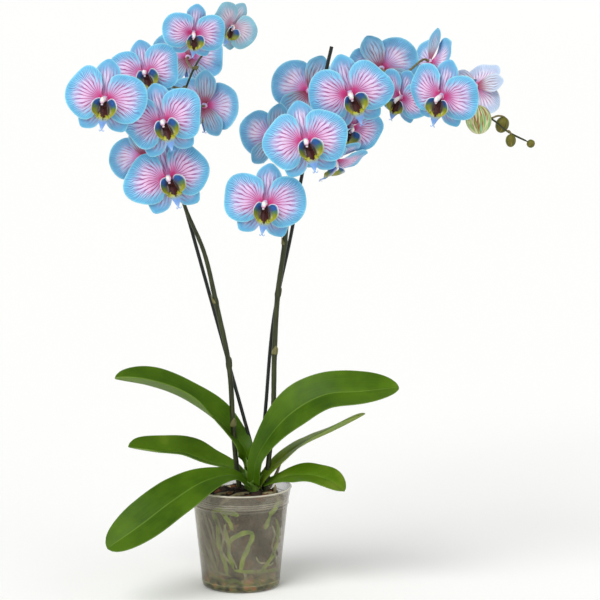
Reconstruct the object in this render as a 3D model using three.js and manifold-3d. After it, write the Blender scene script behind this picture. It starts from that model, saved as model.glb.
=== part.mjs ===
// A moth orchid in a clear plastic pot: two staked flower spikes over a fan of strap leaves.
// Millimetres, +Z up, -Y towards the viewer. The origin is the middle of the pot's underside.
// It needs the npm packages three and manifold-3d.
import * as THREE from 'three';
import { mergeVertices } from 'three/addons/utils/BufferGeometryUtils.js';
import Module from 'manifold-3d';

const wasm = await Module();
wasm.setup();

// ---------------------------------------------------------------- driving dimensions

const pot = { height: 119, rimRadius: 60, footRadius: 45, wall: 0.9, floor: 1.2, sides: 24 };
const seatGap = 0.3; // clearance between two pieces that touch on the real plant
const bark = { top: 107, crownSwell: 4, rootSpace: 5.2 };
const crown = { x: 15, y: 1, bottom: 112, top: 152, footRadius: 8, topRadius: 5, sides: 8 };
const rootstock = { bottom: 97, radius: 7 };
const stake = { radius: 2.1, sides: 6 };
const spikeStem = { footRadius: 3, tipRadius: 1.1, sides: 5, steps: 15 };
const pedicel = { stemEndRadius: 1.5, bloomEndRadius: 1.2, sides: 4, steps: 3, reach: 34 };
const root = { radius: 2.1, sides: 4, steps: 8 };

// One bloom at size 1, which is 97 mm across its petals.
const bloom = {
  petal: { claw: 1.6, reach: 50, fallOff: 0.0036, bestAngle: 12, low: -62, high: 78, thickness: 0.8 },
  dorsalSepal: { length: 47, halfWidth: 15, turn: 0 },
  lateralSepal: { length: 43, halfWidth: 13.5, turn: 143 },
  sepalThickness: 0.8,
  lip: {
    columns: 6,
    across: [-15, -10.5, -4.5, 0, 4.5, 10.5, 15],
    upper: [-7, -2, -8, -3, -8, -2, -7],
    lower: [-13, -20, -27.5, -34, -27.5, -20, -13],
  },
  hubRadius: 4,
  hubFront: 1.5,
  hubBack: -3.5,
};

// Each bloom: where its middle is, the way it faces (azimuth from the viewer towards +X, and upwards),
// its roll clockwise as it is looked in the face, its size against the bloom above,
// and how many degrees its petals sweep back.
const leftBlooms = [
  { at: [-79, -58, 487], azimuth: 0, up: 8, roll: -15, size: 1.0, sweep: 2 },
  { at: [-83, -80, 552], azimuth: -4, up: 8, roll: -15, size: 0.96, sweep: 4 },
  { at: [-147, -98, 579], azimuth: -8, up: 5, roll: 6, size: 0.96, sweep: 2 },
  { at: [-105, -42, 604], azimuth: -6, up: 14, roll: -13, size: 0.86, sweep: 0 },
  { at: [-49, -74, 651], azimuth: 4, up: -14, roll: 8, size: 0.72, sweep: -4 },
  { at: [-8, -42, 657], azimuth: 24, up: -8, roll: 34, size: 0.64, sweep: -14 },
  { at: [-60, 46, 617], azimuth: 168, up: 10, roll: -8, size: 0.86, sweep: 0 },
  { at: [-40, 14, 563], azimuth: 158, up: 0, roll: -6, size: 0.9, sweep: 4 },
  { at: [-113, 36, 502], azimuth: 196, up: 0, roll: 14, size: 0.82, sweep: 0 },
];
const rightBlooms = [
  { at: [30, -58, 458], azimuth: -5, up: 6, roll: 8, size: 0.98, sweep: 3 },
  { at: [76, -88, 531], azimuth: 0, up: 8, roll: -12, size: 1.0, sweep: 2 },
  { at: [126, -60, 582], azimuth: 2, up: -4, roll: -16, size: 0.98, sweep: 2 },
  { at: [80, 36, 578], azimuth: 188, up: 0, roll: -20, size: 0.94, sweep: 2 },
  { at: [39, 12, 526], azimuth: 204, up: 6, roll: -8, size: 0.88, sweep: 0 },
  { at: [163, 16, 606], azimuth: 182, up: 12, roll: 24, size: 0.92, sweep: 2 },
  { at: [127, -36, 544], azimuth: 14, up: -18, roll: 38, size: 0.82, sweep: 0 },
  { at: [109, -40, 506], azimuth: 30, up: -58, roll: 20, size: 0.84, sweep: 1 },
  { at: [184, -29, 576], azimuth: -39, up: -12, roll: 28, size: 0.74, sweep: 5 },
  { at: [227, -80, 581], azimuth: -30, up: -10, roll: 17, size: 0.9, sweep: 8 },
  { at: [220, 22, 613], azimuth: 116, up: -22, roll: 6, size: 0.86, sweep: 2 },
  { at: [272, 8, 586], azimuth: 150, up: -22, roll: -78, size: 0.74, sweep: -26 },
];

// The stems of the two flower spikes, from the crown to the tip.
const leftSpikePath = [
  [0, 12, 100], [-6, 11, 150], [-9, 4, 196], [-13, -3, 262], [-28, -4, 338], [-41, -6, 395],
  [-65, -9, 456], [-72, -12, 503], [-69, -14, 549], [-58, -12, 592], [-42, -10, 622], [-20, -12, 640],
];
const rightSpikePath = [
  [29, -1, 100], [33, -1, 150], [38, 0, 198], [40, -5, 279], [44, -9, 348], [52, -11, 407],
  [59, -12, 480], [73, -13, 532], [96, -13, 572], [129, -10, 596], [170, -8, 602], [212, -11, 588],
  [252, -16, 568], [289, -19, 550], [307, -20, 536], [331, -20, 524],
];
const leftStakePath = [[41, 20, 60], [11, 15, 170], [-65, 3, 454], [-80, 1, 508]];
const rightStakePath = [[7, 12, 22], [27, 9, 185], [39, 3, 316], [59, 2, 414], [74, 5, 494], [106, 16, 631]];

// Buds past the last bloom of the right spike: the middle, the half width, half height and lean,
// and the place that the stalk comes from the spike nearest to.
const buds = [
  { at: [272, -33, 551], halfWidth: 15, halfHeight: 16.5, lean: -6, from: [256, -16, 568] },
  { at: [301, -8, 543], halfWidth: 7.8, halfHeight: 9.5, lean: 22, from: [288, -19, 551] },
  { at: [310, -21, 526], halfWidth: 6, halfHeight: 7.4, lean: 4, from: [306, -20, 537] },
  { at: [333, -20, 522.5], halfWidth: 4.8, halfHeight: 4.8, lean: 60, from: [331, -20, 524] },
];

// Each leaf: its midrib, the way its upper face looks at the foot and at the tip,
// its half width, the angle that each half is folded up, and how far along it has settled to its tip's way.
const leaves = [
  {
    name: 'leaf_left_high', halfWidth: 31, fold: 30, footFace: [-0.5, -0.1, 0.8], tipFace: [0.2, -0.12, 1],
    midrib: [
      [12, 6, 128], [7, 7, 156], [-16, 12, 184], [-46, 16, 208], [-76, 15, 226], [-108, 10, 238],
      [-146, 2, 246],
    ],
  },
  {
    name: 'leaf_right_high', halfWidth: 30, fold: 16,
    footFace: [-0.5, -0.8, 0.4], tipFace: [0.05, -0.42, 0.9],
    midrib: [
      [16, -9, 122], [19, -12, 152], [40, -16, 188], [66, -22, 214], [100, -26, 232], [142, -28, 236],
      [184, -24, 240],
    ],
  },
  {
    name: 'leaf_right_back', halfWidth: 20, fold: 12, footFace: [-0.4, -0.75, 0.6], tipFace: [-0.4, 0.17, 1],
    settled: 0.5,
    midrib: [[20, -4, 120], [30, -5, 134], [48, 4, 150], [74, 16, 166], [108, 28, 180], [146, 38, 197]],
  },
  {
    name: 'leaf_right_low', halfWidth: 19, fold: 14, footFace: [-0.1, -0.5, 0.9], tipFace: [0.5, -0.5, 0.7],
    midrib: [[27, -2, 121], [43, -4, 127], [60, -8, 132], [82, -18, 135], [103, -27, 131], [121, -34, 120]],
  },
  {
    name: 'leaf_left_back', halfWidth: 26, fold: 26, footFace: [-0.2, -0.2, 0.9], tipFace: [0.15, -0.25, 1],
    midrib: [[8, 8, 120], [-10, 20, 134], [-40, 34, 140], [-66, 42, 148], [-98, 46, 150], [-134, 44, 156]],
  },
  {
    name: 'leaf_left_front', halfWidth: 30, fold: 10, footFace: [0.1, -0.5, 0.9], tipFace: [-0.5, -0.75, 0.6],
    midrib: [
      [9, -8, 122], [-8, -22, 136], [-40, -45, 134], [-76, -72, 117], [-112, -92, 93], [-149, -104, 69],
    ],
  },
];

// Aerial roots against the inside of the pot: the angle where each comes down, how far down, and its drift.
const wallRoots = [
  { angle: -112, end: 20, drift: 18 },
  { angle: -78, end: 36, drift: 26 },
  { angle: -34, end: 16, drift: -24 },
  { angle: 62, end: 24, drift: 22 },
];

// Bark chips that stand out of the top: angle, distance from the middle, length, width and tip.
const chipPlaces = [
  [-138, 33, 14, 8, 20], [-95, 34, 16, 9, -14], [-56, 32, 15, 7, 18], [-8, 34, 13, 9, -20],
  [28, 35, 15, 8, 12], [96, 33, 14, 9, 22], [128, 34, 16, 7, -16], [192, 34, 14, 9, 14],
];

// ---------------------------------------------------------------- small tools

const vec = (x, y, z) => new THREE.Vector3(x, y, z);
const points = (list) => list.map(([x, y, z]) => vec(x, y, z));
const degrees = THREE.MathUtils.degToRad;
const mix = THREE.MathUtils.lerp;
const smooth = THREE.MathUtils.smoothstep;

// A repeatable draw from 0 to 1 for the number n.
const draw = (n) => {
  const s = Math.sin(n * 127.1 + 311.7) * 43758.5453;
  return s - Math.floor(s);
};

// A closed geometry as a solid that can be cut and joined.
function solidOf(geometry) {
  const loose = geometry.index ? geometry.toNonIndexed() : geometry;
  const bare = new THREE.BufferGeometry().setAttribute('position', loose.getAttribute('position'));
  const merged = mergeVertices(bare, 1e-4);
  const corners = merged.index.array;
  const kept = [];
  for (let k = 0; k < corners.length; k += 3) {
    const [a, b, c] = corners.slice(k, k + 3);
    if (a !== b && b !== c && c !== a) kept.push(a, b, c);
  }
  return new wasm.Manifold(new wasm.Mesh({
    numProp: 3,
    vertProperties: new Float32Array(merged.attributes.position.array),
    triVerts: new Uint32Array(kept),
  }));
}

// The solid's largest body as a geometry, so that scraps left by a cut are dropped.
function geometryOf(solid) {
  const bodies = solid.decompose().sort((a, b) => b.volume() - a.volume());
  const { vertProperties, triVerts } = bodies[0].getMesh();
  const geometry = new THREE.BufferGeometry();
  geometry.setAttribute('position', new THREE.BufferAttribute(new Float32Array(vertProperties), 3));
  geometry.setIndex(new THREE.BufferAttribute(new Uint32Array(triVerts), 1));
  geometry.computeVertexNormals();
  return geometry;
}

const union = (solids) => solids.reduce((all, one) => all.add(one));

function indexed(vertices, triangles) {
  const geometry = new THREE.BufferGeometry().setFromPoints(vertices);
  geometry.setIndex(triangles);
  return geometry;
}

// A thin closed blade round the surface middle(u, v), with u and v from 0 to 1.
// Both faces are split along the same diagonals.
function blade(middle, across, along, thickness) {
  const step = 1e-3;
  const vertices = [];
  for (const side of [1, -1]) {
    for (let j = 0; j <= along; j++) {
      for (let i = 0; i <= across; i++) {
        const [u, v] = [i / across, j / along];
        const [u0, u1] = [Math.max(0, u - step), Math.min(1, u + step)];
        const [v0, v1] = [Math.max(0, v - step), Math.min(1, v + step)];
        const du = middle(u1, v).sub(middle(u0, v));
        const dv = middle(u, v1).sub(middle(u, v0));
        const half = (typeof thickness === 'function' ? thickness(u, v) : thickness) / 2;
        vertices.push(middle(u, v).addScaledVector(du.cross(dv).normalize(), side * half));
      }
    }
  }
  const row = across + 1;
  const back = row * (along + 1);
  const triangles = [];
  const quad = (a, b, c, d) => triangles.push(a, b, c, a, c, d);
  for (let j = 0; j < along; j++) {
    for (let i = 0; i < across; i++) {
      const k = j * row + i;
      quad(k, k + 1, k + row + 1, k + row);
      triangles.push(back + k, back + k + row + 1, back + k + 1);
      triangles.push(back + k, back + k + row, back + k + row + 1);
    }
  }
  for (let i = 0; i < across; i++) {
    const top = along * row + i;
    quad(i, back + i, back + i + 1, i + 1);
    quad(top + 1, back + top + 1, back + top, top);
  }
  for (let j = 0; j < along; j++) {
    const right = j * row + across;
    quad(j * row + row, back + j * row + row, back + j * row, j * row);
    quad(right, back + right, back + right + row, right + row);
  }
  return solidOf(indexed(vertices, triangles));
}

// A closed tube through the given points, with its radius(t) for t from 0 to 1 set ring by ring.
function tube(path, radius, sides, steps) {
  const curve = new THREE.CatmullRomCurve3(path, false, 'centripetal');
  const ring = [];
  for (let i = 0; i < sides; i++) {
    const turn = (2 * Math.PI * i) / sides;
    ring.push(new THREE.Vector2(Math.cos(turn), Math.sin(turn)));
  }
  const settings = { steps, extrudePath: curve, bevelEnabled: false };
  const geometry = new THREE.ExtrudeGeometry(new THREE.Shape(ring), settings);
  const centres = curve.getSpacedPoints(steps);
  const corners = geometry.getAttribute('position');
  const corner = new THREE.Vector3();
  for (let k = 0; k < corners.count; k++) {
    corner.fromBufferAttribute(corners, k);
    const distances = centres.map((centre) => centre.distanceTo(corner));
    const nearest = distances.indexOf(Math.min(...distances));
    corner.sub(centres[nearest]).multiplyScalar(radius(nearest / steps)).add(centres[nearest]);
    corners.setXYZ(k, corner.x, corner.y, corner.z);
  }
  return solidOf(geometry);
}

// A solid turned round the Z axis, from [radius, height] pairs that run anticlockwise in section.
function turned(profile, sides) {
  return solidOf(new THREE.LatheGeometry(profile.map(([r, z]) => new THREE.Vector2(r, z)), sides)
    .rotateX(Math.PI / 2));
}

// ---------------------------------------------------------------- the pot and what fills it

const innerRadiusAt = (z) => mix(pot.footRadius, pot.rimRadius - 2.5, z / pot.height) - pot.wall;

// A thin tapered pot with a rolled rim, two ribs under it, a stepped foot and drain holes.
function makePot() {
  const { height, rimRadius, footRadius, wall, floor, sides } = pot;
  const outer = (z) => innerRadiusAt(z) + wall;
  const shell = turned([
    [0, 0], [footRadius - 2, 0], [outer(2.5), 2.5], [outer(8) + 0.5, 8], [outer(9), 9],
    [outer(97), 97], [outer(97) + 1.1, 99], [outer(100), 101], [outer(107), 107],
    [outer(107) + 1.4, 109], [rimRadius - 1, height - 3], [rimRadius, height], [rimRadius - 1.6, height],
    [innerRadiusAt(109) + 0.4, 109], [innerRadiusAt(8), 8], [footRadius - 3, floor],
    [0, floor],
  ], sides);
  const drain = new THREE.CylinderGeometry(3, 3, 4 * floor, 6).rotateX(Math.PI / 2);
  const drains = [0, 1, 2, 3, 4].map((k) => {
    const turn = (k * 2 * Math.PI) / 5 + 0.3;
    return solidOf(drain.clone().translate(32 * Math.cos(turn), 32 * Math.sin(turn), 0));
  });
  return shell.subtract(union(drains));
}

const stakeSolid = (path, extra) => tube(points(path), () => stake.radius + extra, stake.sides,
  path === leftStakePath ? 3 : 7);

// The crown: the short upright stem that the leaves clasp.
const crownSolid = (extra) => tube(
  [crown.bottom - extra, crown.top + extra].map((z) => vec(crown.x, crown.y, z)),
  (t) => mix(crown.footRadius, crown.topRadius, t) + extra, crown.sides, 2,
);

// The woody stock under the crown, which the roots come from.
const stockSolid = (extra) => tube(
  [rootstock.bottom - extra, crown.bottom - seatGap].map((z) => vec(crown.x, crown.y, z)),
  () => rootstock.radius + extra, crown.sides, 1,
);

// A root from the crown, over the bark and down the inside of the pot.
function rootPath({ angle, end, drift }) {
  const start = degrees(angle);
  const rest = bark.top + root.radius + seatGap;
  const path = [
    vec(crown.x, crown.y, crown.bottom - root.radius - 1),
    vec(crown.x + 14 * Math.cos(start), crown.y + 14 * Math.sin(start), rest + bark.crownSwell + 1),
    vec(38 * Math.cos(start), 38 * Math.sin(start), rest + 3),
  ];
  for (let k = 0; k <= 4; k++) {
    const z = mix(bark.top - 9, end, k / 4);
    const turn = start + degrees(drift) * (k / 4);
    const reach = innerRadiusAt(z) * Math.cos(Math.PI / pot.sides) - 3 * seatGap - root.radius;
    path.push(vec(reach * Math.cos(turn), reach * Math.sin(turn), z));
  }
  return path;
}

const rootSolid = (one, extra) => tube(rootPath(one), () => root.radius + extra, root.sides, root.steps);

// A short root that stands clear of the bark beside the right leaf, and one that lies over the bark.
const airRoots = [
  [[crown.x, crown.y, 106], [33, 15, 113], [41, 14, 128], [46, 13, 142], [48, 12, 153]],
  [[crown.x, crown.y, 108], [2, -20, bark.top + 6], [-12, -36, bark.top + 5]],
  [[crown.x, crown.y, 107], [34, -16, 113], [40, -31, 117], [41, -36, 128]],
];
const airRootSolid = (path, extra) => tube(points(path), (t) => 2.6 - 0.9 * t + extra, 4, 4);

// The bark that fills the pot, with chips standing out of its top.
function makeBark() {
  const foot = pot.floor + seatGap;
  const { top, rootSpace, crownSwell, chipCount } = bark;
  const fill = turned([
    [0, foot], [innerRadiusAt(foot) - rootSpace - 2, foot],
    [innerRadiusAt(10) - rootSpace, 10], [innerRadiusAt(top) - rootSpace - 1, top - 16],
    [innerRadiusAt(top) - rootSpace - 12, top], [0, top + crownSwell],
  ], pot.sides);
  const chips = chipPlaces.map(([angle, reach, length, width, tip], k) => {
    const chip = new THREE.BoxGeometry(length, width, 6).rotateX(degrees(tip)).rotateZ(6.28 * draw(k));
    const [x, y] = [reach * Math.cos(degrees(angle)), reach * Math.sin(degrees(angle))];
    return solidOf(chip.translate(x, y, top + 1));
  });
  const held = [
    stockSolid(seatGap),
    stakeSolid(leftStakePath, seatGap),
    stakeSolid(rightStakePath, seatGap),
    ...wallRoots.map((one) => rootSolid(one, seatGap)),
    ...airRoots.map((path) => airRootSolid(path, seatGap)),
    spikeSolid(leftSpikePath, seatGap),
    spikeSolid(rightSpikePath, seatGap),
  ];
  return union([fill, ...chips]).subtract(union(held));
}

// ---------------------------------------------------------------- the blooms

// A broad fan-shaped petal on a narrow claw. u runs round its angle, v out from its claw.
// The face of a bloom looks along -Y, with +Z up.
function petalPoint(u, v, side, wave) {
  const { claw, reach, fallOff, bestAngle, low, high } = bloom.petal;
  const edgeAngle = mix(low, high, u);
  const angle = mix(bestAngle, edgeAngle, mix(0.5, 1, smooth(v, 0, 0.5)));
  const corner = 1 - 0.15 * Math.abs(2 * u - 1) ** 5;
  const r = mix(claw, (reach - fallOff * (edgeAngle - bestAngle) ** 2) * corner, v);
  const forward = 0.3 + 4.2 * smooth(v, 0.05, 0.5) - 5 * v ** 3
    + wave.lift * v * v * Math.sin(degrees(edgeAngle) * 3.1 + wave.phase);
  return vec(side * r * Math.cos(degrees(angle)), -forward, r * Math.sin(degrees(angle)));
}

// A pointed oval sepal behind the petals, turned clockwise from straight up.
function sepalPoint(u, v, sepal, side, bow) {
  const width = sepal.halfWidth * Math.sin(Math.PI * mix(0.02, 0.9, v));
  const across = (2 * u - 1) * width;
  const out = mix(bloom.petal.claw, sepal.length, v);
  const forward = -1.4 - 1.2 * (2 * u - 1) ** 2 * smooth(v, 0, 0.3) + bow * v * v;
  const angle = degrees(side * sepal.turn);
  return vec(
    out * Math.sin(angle) + across * Math.cos(angle),
    -forward,
    out * Math.cos(angle) - across * Math.sin(angle),
  );
}

// Petals and sepals, sunk in the five-sided hub where they meet.
function tepals(seed, sweep) {
  const { petal, dorsalSepal, lateralSepal, sepalThickness, hubRadius, hubFront, hubBack } = bloom;
  const sepalBow = -2 - 0.6 * Math.max(0, sweep);
  const bow = mix(-5, 1, draw(seed + 9)) - 0.15 * Math.max(0, sweep);
  const parts = [blade((u, v) => sepalPoint(1 - u, v, dorsalSepal, 1, bow), 2, 3, sepalThickness)];
  for (const side of [1, -1]) {
    const wave = { lift: 1.6, phase: 6.28 * draw(seed + side) };
    const swept = (point) => point.applyAxisAngle(vec(0, 0, 1), side * degrees(sweep));
    parts.push(blade(
      (u, v) => swept(petalPoint(side > 0 ? u : 1 - u, v, side, wave)), 4, 2, petal.thickness,
    ));
    parts.push(blade((u, v) => sepalPoint(1 - u, v, lateralSepal, side, sepalBow), 2, 3, sepalThickness));
  }
  const hub = new THREE.CylinderGeometry(hubRadius, hubRadius, hubFront - hubBack, 5);
  return union([solidOf(hub.rotateY(Math.PI / 5).translate(0, -(hubFront + hubBack) / 2, 0)), ...parts]);
}

// The lip as one cupped sheet: raised side lobes at its two ends, and a drawn-out middle lobe between.
// u runs across from left to right, v from the upper edge to the lower one.
function lipPoint(u, v) {
  const { columns, across, upper, lower } = bloom.lip;
  const k = Math.min(Math.floor(u * columns), columns - 1);
  const t = u * columns - k;
  const read = (list) => mix(list[k], list[k + 1], t);
  const x = read(across);
  const z = mix(read(upper), read(lower), v);
  const forward = 10.5 + 0.03 * x * x + 2.5 * Math.sin(Math.PI * v) * (1 - Math.abs(x) / 20) - 1.5 * v;
  return vec(x, -forward, z);
}

// The column, and the lip that hangs from it.
function lip() {
  const column = tube([vec(0, -2.4, 0.2), vec(0, -8, -0.4), vec(0, -13, -3)], (t) => 2.4 + 0.7 * t, 5, 2);
  return column.add(blade((u, v) => lipPoint(1 - u, v), bloom.lip.columns, 2, 0.9));
}

// How a bloom stands: its roll first, then its tilt, then its azimuth.
function bloomMatrix({ at, azimuth, up, roll, size }) {
  const turn = new THREE.Euler(degrees(-up), degrees(roll), degrees(azimuth), 'ZXY');
  const facing = new THREE.Quaternion().setFromEuler(turn);
  return new THREE.Matrix4().compose(vec(...at), facing, vec(size, size, size));
}

// ---------------------------------------------------------------- the spikes

const spikeRadius = (t) => mix(spikeStem.footRadius, spikeStem.tipRadius, smooth(t, 0.3, 1));
const spikeSolid = (path, extra) => tube(
  points(path), (t) => spikeRadius(t) + extra, spikeStem.sides, spikeStem.steps,
);

// The point of a spike's stem that lies nearest to the given one.
function nearestOnStem(path, aim) {
  const curve = new THREE.CatmullRomCurve3(points(path), false, 'centripetal');
  const knots = curve.getSpacedPoints(spikeStem.steps);
  let nearest = knots[0];
  for (let k = 1; k < knots.length; k++) {
    const here = new THREE.Line3(knots[k - 1], knots[k]).closestPointToPoint(aim, true, new THREE.Vector3());
    if (here.distanceTo(aim) < nearest.distanceTo(aim)) nearest = here;
  }
  return nearest;
}

// The stalk of one bloom, from the spike to the back of the bloom's hub.
function bloomStalk(path, one) {
  const frame = bloomMatrix(one);
  const back = (distance) => vec(0, distance, 0).applyMatrix4(frame);
  const seat = -bloom.hubBack + seatGap / one.size;
  const start = nearestOnStem(path, back(pedicel.reach));
  const bend = start.clone().lerp(back(16), 0.45).add(vec(0, 0, -2));
  const radius = (t) => mix(pedicel.stemEndRadius, pedicel.bloomEndRadius, t);
  return tube([start, bend, back(seat + 7), back(seat)], radius, pedicel.sides, pedicel.steps);
}

function budSolid({ at, halfWidth, halfHeight, lean }) {
  const frame = new THREE.Matrix4().makeRotationY(degrees(lean)).setPosition(...at);
  const [sides, rings] = halfWidth > 10 ? [8, 6] : [6, 4];
  return solidOf(new THREE.SphereGeometry(1, sides, rings).rotateX(Math.PI / 2)
    .scale(halfWidth, halfWidth * 0.92, halfHeight).applyMatrix4(frame));
}

// The short stalk that arches from the spike into the top of a bud.
function budStalk(path, { at, halfHeight, lean, from }) {
  const top = vec(0, 0, halfHeight * 0.9).applyAxisAngle(vec(0, 1, 0), degrees(lean)).add(vec(...at));
  const start = nearestOnStem(path, vec(...from));
  const over = start.clone().lerp(top, 0.55).add(vec(0, 0, halfHeight * 0.28));
  return tube([start, over, top, vec(...at)], () => 1.1, 4, 3);
}

function makeSpike(path, blooms, spikeBuds) {
  return union([
    spikeSolid(path, 0),
    ...blooms.map((one) => bloomStalk(path, one)),
    ...spikeBuds.flatMap((one) => [budSolid(one), budStalk(path, one)]),
  ]);
}

// ---------------------------------------------------------------- the leaves

const leafOutline = (v) => {
  const foot = 0.3 + 0.7 * smooth(v, 0.02, 0.5);
  const tip = v < 0.7 ? 1 : Math.sqrt(Math.max(0, 1 - ((v - 0.7) / 0.3) ** 2));
  return foot * Math.max(tip, 0.34);
};

// A strap leaf, folded along its midrib like a shallow V. extra makes it fatter, to cut its neighbours with.
function leafSolid({ midrib, halfWidth, fold, footFace, tipFace, settled = 1 }, extra) {
  const curve = new THREE.CatmullRomCurve3(points(midrib), false, 'centripetal');
  const middle = (u, v) => {
    const centre = curve.getPointAt(v);
    const tangent = curve.getTangentAt(v);
    const face = vec(...footFace).lerp(vec(...tipFace), Math.min(1, v / settled)).normalize();
    const side = tangent.clone().cross(face).normalize();
    const normal = side.clone().cross(tangent).normalize();
    const s = 2 * u - 1;
    const width = halfWidth * leafOutline(v) + extra;
    const lift = Math.sqrt(s * s + 0.01) - 0.1;
    return centre.addScaledVector(side, s * width * Math.cos(degrees(fold)))
      .addScaledVector(normal, lift * width * Math.sin(degrees(fold)));
  };
  const even = (u, v) => middle(u, v ** 0.9);
  return blade(even, 4, 6, (u) => 2.4 - 1.2 * Math.abs(2 * u - 1) + 2 * extra);
}

// ---------------------------------------------------------------- materials and assembly

const paint = (color, roughness, extra = {}) => new THREE.MeshStandardMaterial(
  { color, roughness, metalness: 0, ...extra },
);
const petalBlue = paint('#7cc9ea', 0.6);
const lipGreen = paint('#6f8f2a', 0.45);
const leafGreen = paint('#3f7d22', 0.4);
const spikeGreen = paint('#44501f', 0.5);
const stakeDark = paint('#1d2a22', 0.5);
const rootGreen = paint('#8a9a55', 0.6);
const barkBrown = paint('#3c2a22', 0.9);
const clearPlastic = paint('#c9ccc4', 0.2, { transparent: true, opacity: 0.35 });

const orchid = new THREE.Group();
orchid.name = 'potted_orchid';

function place(name, solid, material) {
  const mesh = new THREE.Mesh(geometryOf(solid), material);
  mesh.name = name;
  orchid.add(mesh);
  return mesh;
}

place('pot', makePot(), clearPlastic);
place('bark', makeBark(), barkBrown);

const leftSpike = makeSpike(leftSpikePath, leftBlooms, []);
const rightSpike = makeSpike(rightSpikePath, rightBlooms, buds);
const spikeRoom = [spikeSolid(leftSpikePath, seatGap), spikeSolid(rightSpikePath, seatGap)];
const stakeRoom = [stakeSolid(leftStakePath, seatGap), stakeSolid(rightStakePath, seatGap)];

place('spike_left', leftSpike, spikeGreen);
place('spike_right', rightSpike, spikeGreen);
place('stake_left', stakeSolid(leftStakePath, 0), stakeDark);
place('stake_right', stakeSolid(rightStakePath, 0), stakeDark);

const rootParts = [
  stockSolid(0),
  ...wallRoots.map((one) => rootSolid(one, 0)),
  ...airRoots.map((path) => airRootSolid(path, 0)),
];
const supports = union([...spikeRoom, ...stakeRoom]);
place('roots', union(rootParts).subtract(supports).subtract(crownSolid(seatGap)), rootGreen);
place('crown', crownSolid(0).subtract(supports), leafGreen);

const cutters = [crownSolid(seatGap), supports, ...airRoots.map((path) => airRootSolid(path, seatGap))];
for (const one of leaves) {
  place(one.name, leafSolid(one, 0).subtract(union(cutters)), leafGreen);
  cutters.push(leafSolid(one, seatGap));
}

const spikes = { left: leftBlooms, right: rightBlooms };
for (const [spikeName, blooms] of Object.entries(spikes)) {
  blooms.forEach((one, k) => {
    const seed = k + (spikeName === 'left' ? 0 : 50);
    const name = `bloom_${spikeName}_${k + 1}`;
    const pieces = [
      place(`${name}_tepals`, tepals(seed, one.sweep), petalBlue),
      place(`${name}_lip`, lip(), lipGreen),
    ];
    for (const mesh of pieces) bloomMatrix(one).decompose(mesh.position, mesh.quaternion, mesh.scale);
  });
}

export default orchid;
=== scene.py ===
import math
from functools import partial

import bmesh
import bpy
import numpy as np
from mathutils import Matrix, Vector


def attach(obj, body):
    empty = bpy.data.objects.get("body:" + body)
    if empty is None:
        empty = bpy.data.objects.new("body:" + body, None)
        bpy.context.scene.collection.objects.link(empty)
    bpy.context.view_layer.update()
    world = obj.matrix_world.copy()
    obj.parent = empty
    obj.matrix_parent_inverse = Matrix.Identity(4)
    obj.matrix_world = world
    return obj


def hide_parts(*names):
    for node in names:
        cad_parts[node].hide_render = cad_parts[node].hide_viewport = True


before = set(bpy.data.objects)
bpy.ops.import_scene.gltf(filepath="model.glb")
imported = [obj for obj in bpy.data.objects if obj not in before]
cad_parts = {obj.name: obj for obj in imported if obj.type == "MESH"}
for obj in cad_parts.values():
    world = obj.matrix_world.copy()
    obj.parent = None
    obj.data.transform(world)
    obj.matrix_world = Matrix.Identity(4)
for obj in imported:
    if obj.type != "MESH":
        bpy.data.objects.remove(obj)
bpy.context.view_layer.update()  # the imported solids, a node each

# A moth orchid with dyed blue flowers in a clear plastic pot. Sizes are in millimetres up to the
# last step of each mesh, where they become metres. The face of a bloom looks along -Y.
mm = 0.001
socketNames = {
    "roughness": "Roughness", "ior": "IOR", "subsurface": "Subsurface Weight", "sheen": "Sheen Weight",
    "scatter": "Subsurface Scale", "spread": "Subsurface Radius", "sheenRoughness": "Sheen Roughness",
    "coat": "Coat Weight", "coatRoughness": "Coat Roughness", "specular": "Specular IOR Level",
}


def linearColour(hexText):
    channels = [int(hexText[k:k + 2], 16) / 255 for k in (1, 3, 5)]
    return tuple(c / 12.92 if c <= 0.04045 else ((c + 0.055) / 1.055) ** 2.4 for c in channels) + (1.0,)


def setInputs(node, inputs):
    # by name or number, or in order: a number, a colour in hex, a socket, or a node's first live output
    for key, value in inputs.items() if isinstance(inputs, dict) else enumerate(inputs):
        if isinstance(value, bpy.types.Node):
            value = next(socket for socket in value.outputs if socket.enabled)
        if isinstance(value, bpy.types.NodeSocket):
            node.id_data.links.new(value, node.inputs[key])
        else:
            node.inputs[key].default_value = linearColour(value) if str(value)[:1] == "#" else value


def addNode(tree, kind, inputs=(), stops=(), **settings):
    # kind is Blender's name for the node without its first word, such as ShaderNode
    words = ("ShaderNode", "GeometryNode", "FunctionNode", "Node")
    node = tree.nodes.new(next(word + kind for word in words if hasattr(bpy.types, word + kind)))
    for key, value in settings.items():
        setattr(node, key, value)
    setInputs(node, inputs)
    for k, (place, colour, *cover) in enumerate(stops):
        ramp = node.color_ramp.elements
        stop = ramp[k] if k < 2 else ramp.new(place)
        stop.position = place
        stop.color = linearColour(colour)[:3] + ((cover or [1.0])[0],)
    return node


def newMaterial(name, **sockets):
    material = bpy.data.materials.new(name)
    material.use_nodes = True
    shader = material.node_tree.nodes["Principled BSDF"]
    setInputs(shader, {socketNames[key]: value for key, value in sockets.items()})
    return material, shader, partial(addNode, material.node_tree)


def acrossAlong(add):  # the piece's own map, from 0 to 1 each way
    split = add("SeparateXYZ", [add("UVMap", uv_map="surface")])
    return split.outputs["X"], split.outputs["Y"]


def mix(a, b, t):
    return a + (b - a) * t


def smoothStep(x, low, high):
    t = np.clip((x - low) / (high - low), 0, 1)
    return t * t * (3 - 2 * t)


def hump(x, width):
    return np.exp(-(x / width) ** 2)


def draw(n):  # a repeatable draw from 0 to 1 for the number n
    s = math.sin(n * 127.1 + 311.7) * 43758.5453
    return s - math.floor(s)


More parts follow.
